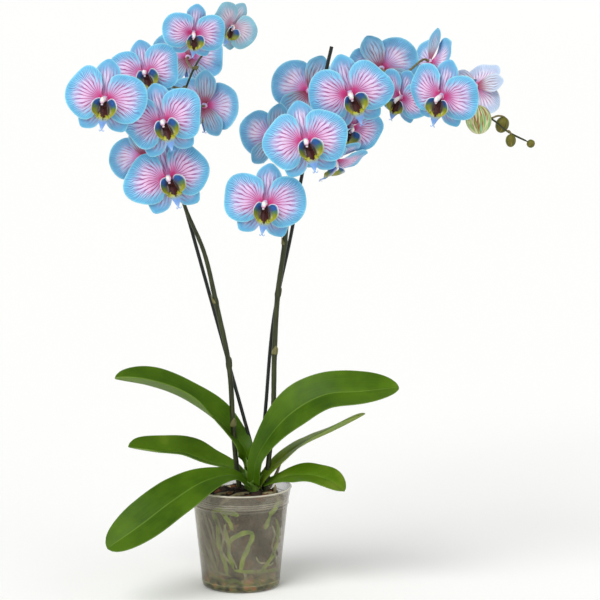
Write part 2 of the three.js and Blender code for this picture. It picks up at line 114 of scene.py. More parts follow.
def turnMatrix(degrees, axis):
    return np.array(Matrix.Rotation(math.radians(degrees), 3, axis))


def unit(vectors):
    return vectors / np.maximum(np.linalg.norm(vectors, axis=-1, keepdims=True), 1e-9)


def smoothPath(knots, count):
    # evenly spaced points on the centripetal spline through the knots
    p = np.array(knots, float)
    p = np.vstack([2 * p[0] - p[1], p, 2 * p[-1] - p[-2]])
    fine = []
    for a, b, c, d in zip(p[:-3], p[1:-2], p[2:-1], p[3:]):
        ab, bc, cd = (math.sqrt(np.linalg.norm(q)) for q in (b - a, c - b, d - c))
        leave = ((b - a) / ab - (c - a) / (ab + bc) + (c - b) / bc) * bc
        arrive = ((c - b) / bc - (d - b) / (bc + cd) + (d - c) / cd) * bc
        t = np.linspace(0, 1, 60, endpoint=False)[:, None]
        fine.append(b + leave * t + (-3 * b + 3 * c - 2 * leave - arrive) * t ** 2
                    + (2 * b - 2 * c + leave + arrive) * t ** 3)
    fine = np.vstack(fine + [p[-2:-1]])
    way = np.concatenate([[0], np.cumsum(np.linalg.norm(np.diff(fine, axis=0), axis=1))])
    return np.stack([np.interp(np.linspace(0, way[-1], count), way, fine[:, k]) for k in range(3)], 1)


# A body is a list of parts, each with its own skins, surface map and distance from its margin.

def addPart(body, points, faces, skins, surfaceMap=(0, 0), gap=25.0):
    points = np.asarray(points, float).reshape(-1, 3)
    body.append((points, faces, np.broadcast_to(skins, len(faces)),
                 np.broadcast_to(surfaceMap, (len(points), 2)), np.broadcast_to(gap, len(points))))


def addShell(body, middle, thickness, surfaceMap, skins=(0, 0), gap=25.0):
    # a thin closed blade round a grid of points, its first skin on the side that across x along points to
    shape = middle.shape[:2]
    normal = unit(np.cross(np.gradient(middle, axis=1), np.gradient(middle, axis=0)))
    half = normal * np.broadcast_to(thickness, shape)[..., None] / 2
    index = np.arange(shape[0] * shape[1]).reshape(shape)
    front = np.stack([index[:-1, :-1], index[:-1, 1:], index[1:, 1:], index[1:, :-1]], -1).reshape(-1, 4)
    back = front[:, [0, 3, 2, 1]] + index.size
    loop = np.concatenate([index[0, :-1], index[:-1, -1], index[-1, :0:-1], index[:0:-1, 0]])
    after = np.roll(loop, -1)
    rim = np.stack([loop, loop + index.size, after + index.size, after], -1)
    marks = np.repeat([skins[0], skins[1], skins[0]], [len(front), len(back), len(rim)])
    addPart(body, np.stack([middle + half, middle - half]), np.vstack([front, back, rim]).tolist(), marks,
            np.tile(surfaceMap.reshape(-1, 2), (2, 1)), np.tile(np.broadcast_to(gap, shape).ravel(), 2))


def ringsOf(centres, radii, sides, flatten=1.0):
    # rings of points square to a path, carried along it without twist
    centres = np.asarray(centres, float)
    tangent = unit(np.gradient(centres, axis=0))
    side = np.cross(tangent[0], [0, 0, 1] if abs(tangent[0][2]) < 0.9 else [1, 0, 0])
    rings = []
    turns = np.linspace(0, 2 * math.pi, sides, endpoint=False)[:, None]
    for centre, along, radius in zip(centres, tangent, radii):
        side = unit(side - along * np.dot(side, along))
        up = np.cross(along, side)
        rings.append(centre + radius * (np.cos(turns) * side * flatten + np.sin(turns) * up))
    return np.array(rings)


def addRings(body, rings, skin, surfaceMap=None, along=None, ends=None):
    # a closed skin over a stack of rings, with a point at each end
    count, sides = rings.shape[:2]
    ends = rings[[0, -1]].mean(1) if ends is None else ends
    index = np.arange(count * sides).reshape(count, sides)
    after = np.roll(index, -1, 1)
    faces = np.stack([index[:-1], after[:-1], after[1:], index[1:]], -1).reshape(-1, 4).tolist()
    for low, lowNext, high, highNext in zip(index[0], after[0], index[-1], after[-1]):
        faces += [[index.size, lowNext, low], [index.size + 1, high, highNext]]
    if surfaceMap is None:
        along = np.linspace(0, 1, count) if along is None else along
        grid = np.stack(np.meshgrid(np.arange(sides) / sides, along), -1).reshape(-1, 2)
        surfaceMap = np.vstack([grid, [0.5, 0], [0.5, 1]])
    addPart(body, np.vstack([rings.reshape(-1, 3), ends]), faces, skin, surfaceMap)


def addBall(body, centre, radii, skin, turn=np.eye(3), rings=12, sides=16, shape=None, surfaceMap=None):
    # an egg form, whose ring radii shape(height, turn) may change
    tilt = np.linspace(-math.pi / 2, math.pi / 2, rings + 1)[1:-1]
    around, t = np.meshgrid(np.linspace(0, 2 * math.pi, sides, endpoint=False), tilt)
    swell = shape(np.sin(t), around) if shape else 1
    ball = np.stack([np.cos(t) * np.cos(around) * swell, np.cos(t) * np.sin(around) * swell, np.sin(t)], -1)
    spot = lambda p: (p * radii) @ turn.T + centre
    poles = spot(np.array([[0, 0, -1], [0, 0, 1]]))
    addRings(body, spot(ball), skin, surfaceMap, (np.sin(tilt) + 1) / 2, poles)


def meshOf(body, materials, frameMatrix=np.eye(4), paleness=0.0):
    points, faces, skins, surface, gap = zip(*body)
    starts = np.cumsum([0] + [len(part) for part in points]).tolist()
    faces = [[k + start for k in face] for part, start in zip(faces, starts) for face in part]
    points = np.vstack(points) @ frameMatrix[:3, :3].T + frameMatrix[:3, 3]
    mesh = bpy.data.meshes.new("body")
    mesh.from_pydata((points * mm).tolist(), [], faces)
    for material in materials:
        mesh.materials.append(material)
    mesh.polygons.foreach_set("material_index", np.concatenate(skins).astype(np.int32))
    corners = np.zeros(len(mesh.loops), np.int32)
    mesh.loops.foreach_get("vertex_index", corners)
    uv = np.vstack(surface)[corners].astype(np.float32)
    mesh.uv_layers.new(name="surface").data.foreach_set("uv", uv.ravel())
    marks = {"marginGap": np.concatenate(gap), "paleness": np.broadcast_to(paleness, len(points))}
    for name, values in marks.items():
        mesh.attributes.new(name, "FLOAT", "POINT").data.foreach_set("value", values.astype(np.float32))
    mesh.update()
    mesh.validate()
    return mesh


def newObject(name, data):
    thing = bpy.data.objects.new(name, data)
    bpy.context.scene.collection.objects.link(thing)
    return thing


def place(name, mesh, slotName, *nodes):
    # a finished mesh as a piece of the part, in the place of its CAD nodes
    mesh.name = name
    piece = newObject(name, mesh)
    mesh.polygons.foreach_set("use_smooth", [True] * len(mesh.polygons))
    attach(piece, "root")
    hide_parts(*nodes)
    return piece


# Geometry Nodes make what follows a path, what is scattered and what is drilled.

def newTree(name, sizes):
    tree = bpy.data.node_groups.new(name, "GeometryNodeTree")
    kinds = {int: "Int", float: "Float", type(None): "Material"}
    tree.interface.new_socket("Geometry", in_out="OUTPUT", socket_type="NodeSocketGeometry")
    tree.interface.new_socket("Geometry", in_out="INPUT", socket_type="NodeSocketGeometry")
    for label, value in sizes.items():
        kind = "NodeSocket" + kinds[type(value)]
        socket = tree.interface.new_socket(label, in_out="INPUT", socket_type=kind)
        if value is not None:
            socket.default_value = value
    add = partial(addNode, tree)
    return tree, add, add("GroupInput").outputs


def endTree(add, geometry, skin):
    whole = add("RealizeInstances", [geometry])
    add("GroupOutput", [add("SetMaterial", {"Geometry": whole, "Material": skin})])


def runTree(tree, data, values):
    # gives the mesh that the tree makes of a curve or mesh
    source = newObject("source", data)
    modifier = source.modifiers.new(tree.name, "NODES")
    modifier.node_group = tree
    for item in tree.interface.items_tree:
        if item.name in values and item.in_out == "INPUT":
            modifier[item.identifier] = values[item.name]
    bpy.context.view_layer.update()
    result = source.evaluated_get(bpy.context.evaluated_depsgraph_get())
    mesh = bpy.data.meshes.new_from_object(result)
    bpy.data.objects.remove(source)
    return mesh


def makeStemTree():
    tree, add, given = newTree("stemAlongPath", {
        "Spacing": 0.003, "Sides": 12, "Wobble": 0.0, "Grain": 80.0, "Skin": None})
    even = add("ResampleCurve", {"Curve": given["Geometry"], "Length": given["Spacing"]}, mode="LENGTH")
    marked = add("StoreNamedAttribute", {"Geometry": even, "Name": "along", "Value": add("SplineParameter")})
    ring = add("CurvePrimitiveCircle", {"Resolution": given["Sides"], "Radius": 1.0})
    stem = add("CurveToMesh", {
        "Curve": marked, "Profile Curve": ring, "Scale": add("InputRadius"), "Fill Caps": True})
    rough = add("TexNoise", {"Scale": given["Grain"], "Detail": 2.0})
    push = add("Math", [rough, 0.5], operation="SUBTRACT")
    depth = add("Math", [push, given["Wobble"]], operation="MULTIPLY")
    shift = add("VectorMath", {0: add("InputNormal"), "Scale": depth}, operation="SCALE")
    endTree(add, add("SetPosition", {"Geometry": stem, "Offset": shift}), given["Skin"])
    return tree


stemTree = makeStemTree()


def tubes(name, paths, skin, slotName, node, spacing=3.0, sides=12, wobble=0.0, grain=80.0):
    # a piece of one stem or several, each given as its points and radii; grain is lumps in a metre
    curve = bpy.data.curves.new(name, "CURVE")
    curve.dimensions = "3D"
    for points, radii in paths:
        spline = curve.splines.new("POLY")
        spline.points.add(len(points) - 1)
        spline.points.foreach_set("co", np.pad(points * mm, ((0, 0), (0, 1)), constant_values=1).ravel())
        spline.points.foreach_set("radius", radii * mm)
    mesh = runTree(stemTree, curve, {
        "Spacing": spacing * mm, "Sides": sides, "Wobble": wobble * mm, "Grain": grain, "Skin": skin})
    return place(name, mesh, slotName, node)


def makeChipTree():
    tree, add, given = newTree("chipScatter", {
        "Gap": 0.007, "Length": 0.013, "Width": 0.009, "Thickness": 0.0045, "Tilt": 0.4, "Foot Radius": 0.04,
        "Flare": 0.1, "Floor": 0.0016, "Seed": 7, "Skin": None})
    seed, tilt = given["Seed"], given["Tilt"]
    spots = add("DistributePointsOnFaces", {
        "Mesh": given["Geometry"], "Distance Min": given["Gap"], "Density Max": 60000.0, "Seed": seed},
        distribute_method="POISSON")
    tone = add("RandomValue", {"Seed": seed}, data_type="FLOAT")
    toned = add("StoreNamedAttribute", {"Geometry": spots, "Name": "chipTone", "Value": tone})
    size = add("CombineXYZ", [given["Length"], given["Width"], given["Thickness"]])
    block = add("MeshCube", {"Size": size, "Vertices X": 5, "Vertices Y": 4, "Vertices Z": 3})
    least = add("Math", [tilt, -1.0], operation="MULTIPLY")
    low = add("CombineXYZ", [least, least, 0.0])
    high = add("CombineXYZ", [tilt, tilt, 6.283])
    spin = add("RandomValue", {0: low, 1: high, "Seed": seed}, data_type="FLOAT_VECTOR")
    turned = add("RotateRotation", [spots.outputs["Rotation"], spin], rotation_space="LOCAL")
    grow = add("RandomValue", {0: (0.55, 0.55, 0.6), 1: (1.25, 1.2, 1.2), "Seed": seed},
               data_type="FLOAT_VECTOR")
    chips = add("InstanceOnPoints", {"Points": toned, "Instance": block, "Rotation": turned, "Scale": grow})
    whole = add("RealizeInstances", [chips])
    rough = add("TexNoise", {"Scale": 260.0, "Detail": 2.0}).outputs["Color"]  # breaks 4 mm apart
    centred = add("VectorMath", [rough, (0.5, 0.5, 0.5)], operation="SUBTRACT")
    chipped = add("VectorMath", {0: centred, "Scale": 0.0055}, operation="SCALE")
    broken = add("SetPosition", {"Geometry": whole, "Offset": chipped})
    # chips that would pass the wall are pressed flat against the room left for the roots
    spot = add("SeparateXYZ", [add("InputPosition")]).outputs
    reach = add("VectorMath", [add("CombineXYZ", [spot["X"], spot["Y"]])], operation="LENGTH")
    room = add("Math", [spot["Z"], given["Flare"], given["Foot Radius"]], operation="MULTIPLY_ADD")
    share = add("Math", [room, reach], operation="DIVIDE")
    squeeze = add("Math", [share, 1.0], operation="MINIMUM")
    inner = [add("Math", [spot[axis], squeeze], operation="MULTIPLY") for axis in "XY"]
    raised = add("Math", [spot["Z"], given["Floor"]], operation="MAXIMUM")
    pressed = add("SetPosition", {"Geometry": broken, "Position": add("CombineXYZ", inner + [raised])})
    endTree(add, pressed, given["Skin"])
    return tree


def makeDrainTree():
    tree, add, given = newTree("drainHoles", {
        "Holes": 5, "Circle": 0.032, "Radius": 0.003, "Turn": 0.3, "Skin": None})
    places = add("MeshCircle", {"Vertices": given["Holes"], "Radius": given["Circle"]})
    drill = add("MeshCylinder", {"Vertices": 20, "Radius": given["Radius"], "Depth": 0.006})
    drills = add("InstanceOnPoints", {"Points": places, "Instance": drill})
    turned = add("Transform", {
        "Geometry": add("RealizeInstances", [drills]), "Rotation": add("CombineXYZ", {"Z": given["Turn"]})})
    drilled = add("MeshBoolean", {"Mesh 1": given["Geometry"], "Mesh 2": turned},
                  operation="DIFFERENCE", solver="EXACT")
    endTree(add, drilled, given["Skin"])
    return tree


print("trees built")

stageSet = {
    "cameraPlace": (0.06959, -3.0, 0.8), "cameraDip": 8.74, "lens": 157.02,  # from the pot's rim and foot
    "floorRadius": 40.0, "floor": "#fcfcfa", "surround": 0.97, "ceiling": 0.4,
    "lights": [  # name, where it shines from, spread in degrees, strength
        ("key", (-1.3, -1.7, 2.1), 42.0, 2.05),
        ("fill", (1.8, -1.6, 0.9), 50.0, 0.45),
    ],
}


def setStage(look):
    scene = bpy.context.scene
    camera = bpy.data.cameras.new("photoCamera")
    camera.lens, camera.sensor_width = look["lens"], 36.0
    scene.camera = newObject("photoCamera", camera)
    scene.camera.location = look["cameraPlace"]
    scene.camera.rotation_euler = (math.radians(90 - look["cameraDip"]), 0, 0)

    paper, shader, add = newMaterial("mattPaper", roughness=0.9, specular=0.1)
    grain = add("TexNoise", {"Scale": 3.0, "Detail": 3.0})  # slow mottling of lit paper
    setInputs(shader, {"Base Color": add("ValToRGB", [grain], [(0.3, look["floor"]), (0.7, "#ffffff")])})
    disc = bmesh.new()
    bmesh.ops.create_circle(disc, cap_ends=True, segments=96, radius=look["floorRadius"])
    mesh = bpy.data.meshes.new("floor")
    disc.to_mesh(mesh)
    disc.free()
    mesh.materials.append(paper)
    newObject("floor", mesh)

    for name, spot, spread, strength in look["lights"]:  # like large softboxes far away
        light = bpy.data.lights.new(name, "SUN")
        light.angle, light.energy = math.radians(spread), strength
        lamp = newObject(name, light)
        lamp.location = spot
        lamp.rotation_euler = (-Vector(spot)).to_track_quat("-Z", "Y").to_euler()

    scene.world = bpy.data.worlds.new("studio")
    scene.world.use_nodes = True
    # white walls all round, under a dimmer ceiling
    add = partial(addNode, scene.world.node_tree)
    height = add("SeparateXYZ", [add("TexCoord").outputs["Generated"]]).outputs["Z"]
    rise = add("MapRange", [height, 0.25, 0.65, look["surround"], look["ceiling"]])
    setInputs(scene.world.node_tree.nodes["Background"], {"Color": "#ffffff", "Strength": rise})
    scene.view_settings.view_transform = "Standard"


setStage(stageSet)
print("stage set")

veinSet = {
    "thickness": 0.72,  # mm
    "wander": 0.72,  # a share of the gap between two veins
    "wanderSize": 14.0,  # mm
    "firstFork": 0.24, "secondFork": 0.5,  # shares of the petal's length
}


def makeVeinGroup(look):
    # branching veins along v: main veins, and a pair that forks off each one, twice
    tree = bpy.data.node_groups.new("branchingVeins", "ShaderNodeTree")
    for label in ("Across", "Along", "Count", "Spread", "Taper"):
        tree.interface.new_socket(label, in_out="INPUT", socket_type="NodeSocketFloat")
    tree.interface.new_socket("Vein", in_out="OUTPUT", socket_type="NodeSocketFloat")
    add = partial(addNode, tree)
    across, along, count, spread, taper = add("GroupInput").outputs[:5]
    noise = add("TexNoise", {
        "Vector": add("TexCoord").outputs["Object"], "Scale": 1000 / look["wanderSize"], "Detail": 2.0})
    wander = add("Math", [noise, 0.5], operation="SUBTRACT")
    drift = add("Math", [wander, look["wander"] * 2], operation="MULTIPLY")
    turn = add("Math", [across, count, drift], operation="MULTIPLY_ADD")
    fold = add("Math", [turn, 0.5], operation="PINGPONG")
    # the width of a vein as a share of the strip between two main veins
    rest = add("Math", [1.0, taper], operation="SUBTRACT")
    strip = add("Math", [along, taper, rest], operation="MULTIPLY_ADD")
    fan = add("Math", [strip, spread], operation="MULTIPLY")
    dense = add("Math", [count, fan], operation="DIVIDE")
    share = add("Math", [dense, look["thickness"]], operation="MULTIPLY")
    lot = add("TexWhiteNoise", {"W": add("Math", [turn], operation="ROUND")}, noise_dimensions="1D")
    drawn = add("Math", [lot, 0.22], operation="MULTIPLY")

    def line(offset, thin, startAt):
        far = add("Math", [fold, offset], operation="SUBTRACT") if offset else fold
        far = add("Math", [far], operation="ABSOLUTE")
        inner, outer = (add("Math", [share, width * thin], operation="MULTIPLY") for width in (0.15, 0.75))
        mark = add("MapRange", [far, inner, outer, 1.0, 0.0], interpolation_type="SMOOTHSTEP")
        if startAt is None:
            return mark
        begun = add("Math", [along, startAt], operation="GREATER_THAN")
        return add("Math", [mark, begun], operation="MULTIPLY")

    first = add("Math", [drawn, look["firstFork"]], operation="ADD")
    second = add("Math", [drawn, look["secondFork"]], operation="ADD")
    firstEnd = add("Math", [first, 0.5], operation="ADD")
    firstWay = add("MapRange", [along, first, firstEnd, 0.0, 0.33], interpolation_type="SMOOTHSTEP")
    secondWay = add("MapRange", [along, second, 1.1, 0.0, 0.16], interpolation_type="SMOOTHSTEP")
    outward = add("Math", [firstWay, secondWay], operation="ADD")
    both = add("Math", [line(None, 1.15, None), line(firstWay, 0.9, first)], operation="MAXIMUM")
    twigs = add("Math", [line(secondWay, 0.75, second), line(outward, 0.75, second)], operation="MAXIMUM")
    light = add("Math", [twigs, 0.7], operation="MULTIPLY")
    add("GroupOutput", [add("Math", [both, light], operation="MAXIMUM")])
    return tree


veinGroup = makeVeinGroup(veinSet)
petalVeins = {"Count": 15.0, "Spread": 118.0, "Taper": 0.85}  # main veins, fan in mm at the margin, narrowing
sepalVeins = {"Count": 7.0, "Spread": 30.0, "Taper": 0.3}

# Dyed petals: sky blue from the margin inwards, lilac white in the middle and hot pink at the claw.
# The first, palest stop of each margin, at the very edge, is a painted highlight along the rounded rim.
# margin is by distance from the edge over 25 mm, base by distance along the petal with its cover.
petalSkins = {
    "petalFront": {
        "deep": "#5f9fc6", "veins": petalVeins, "strength": 1.0,
        "margin": [(0.0, "#bce6f0"), (0.025, "#84cde4"), (0.1, "#68bcde"), (0.28, "#7ac2e2"),
                   (0.44, "#a8c4e4"), (0.6, "#d0c6e6"), (1.0, "#e6cfe8")],
        "base": [(0.0, "#c41d6a"), (0.14, "#dc478f", 0.95), (0.33, "#e783b9", 0.6), (0.66, "#ebb6da", 0.0)],
        "vein": [(0.0, "#8c0d45"), (0.45, "#941c66"), (0.7, "#744694"), (0.95, "#3f78b6")],
    },
    "petalBack": {
        # the back is paler than the front towards the middle: partly its own colour, partly painted light for
        # backs that lie in shade
        "deep": "#6aa6cc", "veins": petalVeins, "strength": 0.72,
        "margin": [(0.0, "#b8e3ef"), (0.035, "#86cae2"), (0.14, "#6cb8dc"), (0.38, "#80bee0"),
                   (0.54, "#b4cdea"), (0.74, "#e0d8ef"), (1.0, "#f2e2f2")],
        "base": [(0.0, "#c42470"), (0.14, "#d6559a", 0.85), (0.34, "#e59cca", 0.45), (0.6, "#ecc4e2", 0.0)],
        "vein": [(0.0, "#981852"), (0.45, "#a24282"), (0.72, "#7f66a6"), (0.95, "#5088be")],
    },
    "sepalFront": {
        "deep": "#5b98c0", "veins": sepalVeins, "strength": 0.8,
        "margin": [(0.0, "#b4e1ee"), (0.025, "#78c3de"), (0.12, "#60b3d8"), (0.3, "#7cb9dd"),
                   (0.42, "#b0c6e6"), (0.56, "#dad2ec"), (1.0, "#eadcf0")],
        "base": [(0.0, "#c5246f"), (0.16, "#d86ca6", 0.68), (0.4, "#e4b4da", 0.32), (0.7, "#e2cae8", 0.0)],
        "vein": [(0.0, "#871446"), (0.45, "#983570"), (0.72, "#70609c"), (0.95, "#4480b6")],
    },
    "sepalBack": {
        "deep": "#6c98b4", "veins": sepalVeins, "strength": 0.72,
        "margin": [(0.0, "#b4e1ee"), (0.03, "#80c4de"), (0.14, "#6cb4d6"), (0.3, "#88badb"),
                   (0.45, "#9fbfdc"), (0.6, "#b0bfd6"), (1.0, "#b9b9cb")],
        "base": [(0.0, "#901836"), (0.18, "#a84460", 0.8), (0.4, "#b8a2a4", 0.4), (0.62, "#b6b4ba", 0.0)],
        "vein": [(0.0, "#5c1424"), (0.45, "#6e3448"), (0.72, "#5e5878"), (0.95, "#4882ac")],
    },
}


def petalSkin(name, look):
    # thin living tissue: light soaks in, and the cells give a velvet edge
    material, shader, add = newMaterial(
        name, roughness=0.55, subsurface=0.15, scatter=0.002, spread=(1.0, 0.8, 0.9), sheen=0.06,
        sheenRoughness=0.4, specular=0.25)
    here = add("TexCoord").outputs["Object"]
    across, along = acrossAlong(add)
    gap = add("Attribute", attribute_name="marginGap").outputs["Fac"]
    pale = add("Attribute", attribute_name="paleness").outputs["Fac"]
    vein = add("Group", {"Across": across, "Along": along, **look["veins"]}, node_tree=veinGroup)
    # the dye ends in patches about 10 mm across, and is deeper in clouds of about 16 mm
    patches = add("TexNoise", {"Vector": here, "Scale": 105.0, "Detail": 3.0})
    patch = add("Math", [patches, 11.0, -5.5], operation="MULTIPLY_ADD")
    ragged = add("Math", [patch, add("MapRange", [gap, 0.0, 5.0])], operation="MULTIPLY")
    reached = add("Math", [gap, ragged], operation="ADD")
    dyed = add("ValToRGB", [add("Math", [reached, 25.0], operation="DIVIDE")], look["margin"])
    cloud = add("TexNoise", {"Vector": here, "Scale": 62.0, "Detail": 4.0})
    deeper = add("MapRange", [cloud, 0.42, 0.68, 0.0, 0.34])
    ground = add("Mix", {0: deeper, 6: dyed, 7: look["deep"]}, data_type="RGBA")
    # pink runs out from the claw, a little further between the veins
    seep = add("Math", [vein, -0.16, along], operation="MULTIPLY_ADD")
    seeps = add("Math", [patches, 0.22, -0.11], operation="MULTIPLY_ADD")
    flush = add("ValToRGB", [add("Math", [seep, seeps], operation="ADD")], look["base"])
    # a few blooms took little dye: above 0 they stay greenish, below 0 nearly white
    white = add("Math", [pale, -0.8], operation="MULTIPLY", use_clamp=True)
    faded = add("Mix", {0: white, 6: ground, 7: "#eeeaf6"}, data_type="RGBA")
    flushed = add("Mix", {0: flush.outputs["Alpha"], 6: faded, 7: flush}, data_type="RGBA")
    ink = add("ValToRGB", [along], look["vein"])
    inside = add("ValToRGB", [add("Math", [gap, 25.0], operation="DIVIDE")], [
        (0.015, "#000000"), (0.06, "#c0c0c0"), (0.4, "#ffffff")])
    strength = add("Math", [inside, look["strength"]], operation="MULTIPLY")
    broken = add("Math", [strength, add("MapRange", [patches, 0.3, 0.62, 1.0, 0.78])], operation="MULTIPLY")
    cover = add("Math", [vein, broken], operation="MULTIPLY", use_clamp=True)
    veined = add("Mix", {0: cover, 6: flushed, 7: ink}, data_type="RGBA")
    green = add("Math", [pale, 0.75], operation="MULTIPLY", use_clamp=True)
    greened = add("Mix", {0: green, 6: veined, 7: "#a3bfae"}, data_type="RGBA")
    # raised veins on slow swells of 13 mm, with cells that are drawn coarse, 1 mm across, to show
    cells = add("TexNoise", {"Vector": here, "Scale": 900.0, "Detail": 2.0})
    raised = add("Math", [vein, 0.8, cells], operation="MULTIPLY_ADD")
    ripple = add("TexNoise", {"Vector": here, "Scale": 75.0, "Detail": 1.0})
    swell = add("Bump", {"Strength": 0.6, "Distance": 0.004, "Height": ripple})
    relief = add("Bump", {"Strength": 0.35, "Distance": 0.00025, "Height": raised, "Normal": swell})
    setInputs(shader, {"Base Color": greened, "Normal": relief})
    return material


tepalSkins = [petalSkin(name, look) for name, look in petalSkins.items()]


def lobeSkin():
    # side lobes: royal blue inside a white edge, yellow green below, with a dark throat of maroon marking and
    # painted shade inside the cup
    material, shader, add = newMaterial(
        "lipLobeTissue", roughness=0.35, subsurface=0.12, scatter=0.0015, coat=0.25, coatRoughness=0.2)
    around, outward = acrossAlong(add)
    # colours that run into each other in patches of 4 mm
    patches = add("TexNoise", {"Vector": add("TexCoord").outputs["Object"], "Scale": 260.0, "Detail": 3.0})
    body = add("ValToRGB", [add("Math", [patches, 0.3, around], operation="MULTIPLY_ADD")], [
        (0.1, "#8db6e0"), (0.3, "#3f7cc4"), (0.56, "#2a5ca6"), (0.68, "#487a62"), (0.8, "#7c881a"),
        (1.0, "#9a9c1c")])
    # the throat: maroon marking darkened with painted shade where the lobes close into a cup
    throatMarkAndShade = add("MapRange", [outward, 0.15, 0.6, 0.95, 0.0])
    dark = add("Mix", {0: throatMarkAndShade, 6: body, 7: "#2c0d10"}, data_type="RGBA")
    edge = add("MapRange", [outward, 0.84, 1.0, 0.0, 0.8])
    above = add("MapRange", [around, 0.5, 0.75, 1.0, 0.15])
    rim = add("Math", [edge, above], operation="MULTIPLY")
    setInputs(shader, {"Base Color": add("Mix", {0: rim, 6: dark, 7: "#eef2fa"}, data_type="RGBA")})
    return material


def tongueSkin():
    # middle lobe: maroon and spotted at the root, with painted shade of the cup darkening it, yellow green at
    # the shoulders, violet blue tongue
    material, shader, add = newMaterial(
        "lipTongueTissue", roughness=0.5, subsurface=0.05, scatter=0.001, specular=0.25)
    across, along = acrossAlong(add)
    here = add("TexCoord").outputs["Object"]
    spots = add("TexVoronoi", {"Vector": here, "Scale": 520.0})  # spots 2 mm apart
    spot = add("MapRange", [spots, 0.25, 0.4, 1.0, 0.0])
    side = add("Math", [add("Math", [across, 0.5], operation="SUBTRACT")], operation="ABSOLUTE")
    # the flank is darkest at the root: its maroon with painted shade of the cup
    flank = add("ValToRGB", [along], [
        (0.0, "#4a1414"), (0.3, "#6a3a14"), (0.42, "#8f8a1c"), (0.55, "#a8ab28"), (0.66, "#8298a0"),
        (0.74, "#6c94cf"), (0.88, "#7ba4dc"), (1.0, "#a3c6ec")])
    heart = add("MapRange", [along, 0.36, 0.64, 0.42, 0.0])
    patches = add("TexNoise", {"Vector": here, "Scale": 330.0, "Detail": 3.0})  # ragged over 3 mm
    ragged = add("Math", [patches, 0.5, -0.25], operation="MULTIPLY_ADD")
    reach = add("Math", [heart, ragged], operation="ADD")
    inside = add("MapRange", [add("Math", [reach, side], operation="SUBTRACT"), -0.03, 0.05])
    # near-black maroon: the spotted patch with painted shade of the cup on it
    maroonAndShade = add("Mix", {0: spot, 6: "#3c0f0c", 7: "#160505"}, data_type="RGBA")
    freckle = add("Math", [spot, 0.55], operation="MULTIPLY")
    freckled = add("Mix", {0: freckle, 6: flank, 7: "#5a3a18"}, data_type="RGBA")
    tongueEnd = add("Math", [along, 0.66], operation="GREATER_THAN")
    sides = add("Mix", {0: tongueEnd, 6: freckled, 7: flank}, data_type="RGBA")
    above = add("Math", [1.0, tongueEnd], operation="SUBTRACT")
    dark = add("Math", [inside, above], operation="MULTIPLY")
    setInputs(shader, {"Base Color": add("Mix", {0: dark, 6: sides, 7: maroonAndShade}, data_type="RGBA")})
    return material


def columnSkin():
    # column and cap: waxy white, faintly pink near the root in patches of 2.5 mm
    material, shader, add = newMaterial(
        "columnWax", roughness=0.3, subsurface=0.25, scatter=0.002, coat=0.3, coatRoughness=0.15)
    patches = add("TexNoise", {"Vector": add("TexCoord").outputs["Object"], "Scale": 400.0, "Detail": 2.0})
    tinted = add("Math", [patches, 0.35, acrossAlong(add)[1]], operation="MULTIPLY_ADD")
    setInputs(shader, {"Base Color": add("ValToRGB", [tinted], [
        (0.15, "#cf7fab"), (0.4, "#e4c8da"), (0.7, "#e4e0de"), (1.0, "#eeece8")])})
    return material


lipTissue = [lobeSkin(), tongueSkin(), columnSkin()]
print("flower skins made")

bloomSet = {  # at size 1, which is 97 mm across the petals
    "claw": 1.6, "reach": 50.0, "fallOff": 0.0036, "bestAngle": 12.0, "low": -62.0, "high": 78.0,
    "dorsal": (47.0, 15.0, 0.0), "lateral": (43.0, 13.5, 143.0),  # length, half width, turn
    "thickness": 0.8, "marginThickness": 0.35, "ruffle": 1.6, "waver": 0.024, "lopsided": 0.046,
}
# at, azimuth, up, roll, size, sweep, and how far the dye has missed it
spikeBlooms = {
    "left": [
        ((-79, -58, 487), 0, 8, -15, 1.0, 2, 0), ((-83, -80, 552), -4, 8, -15, 0.96, 4, 0),
        ((-147, -98, 579), -8, 5, 6, 0.96, 2, 0), ((-105, -42, 604), -6, 14, -13, 0.86, 0, 0),
        ((-49, -74, 651), 4, -14, 8, 0.72, -4, 0), ((-8, -42, 657), 24, -8, 34, 0.64, -14, 0.5),
        ((-60, 46, 617), 168, 10, -8, 0.86, 0, 0), ((-40, 14, 563), 158, 0, -6, 0.9, 4, 0),
        ((-113, 36, 502), 196, 0, 14, 0.82, 0, 0),
    ],
    "right": [
        ((30, -58, 458), -5, 6, 8, 0.98, 3, 0), ((76, -88, 531), 0, 8, -12, 1.0, 2, 0),
        ((126, -60, 582), 2, -4, -16, 0.98, 2, 0), ((80, 36, 578), 188, 0, -20, 0.94, 2, 0),
        ((39, 12, 526), 204, 6, -8, 0.88, 0, 0), ((163, 16, 606), 182, 12, 24, 0.92, 2, 0),
        ((127, -36, 544), 14, -18, 38, 0.82, 0, 0), ((109, -40, 506), 30, -58, 20, 0.84, 1, 0),
        ((184, -29, 576), -39, -12, 28, 0.74, 5, 0), ((227, -80, 581), -30, -10, 17, 0.9, 8, 0),
        ((220, 22, 613), 116, -22, 6, 0.86, 2, 0), ((272, 8, 586), 150, -22, -78, 0.74, -26, -0.75),
    ],
}


def edgeSteps(n):  # closer together at both edges
    return np.concatenate([[0, 0.014], np.linspace(0.05, 0.95, n), [0.986, 1]])


def tipSteps(n):
    return np.concatenate([[0, 0.04], np.linspace(0.09, 0.96, n), [0.988, 1]])


def phaseOf(n):
    return 6.28 * draw(n)


def roundTip(v, least):
    return np.sqrt(np.clip(1 - (np.clip(v - 0.7, 0, 1) / 0.3) ** 2, least, 1))


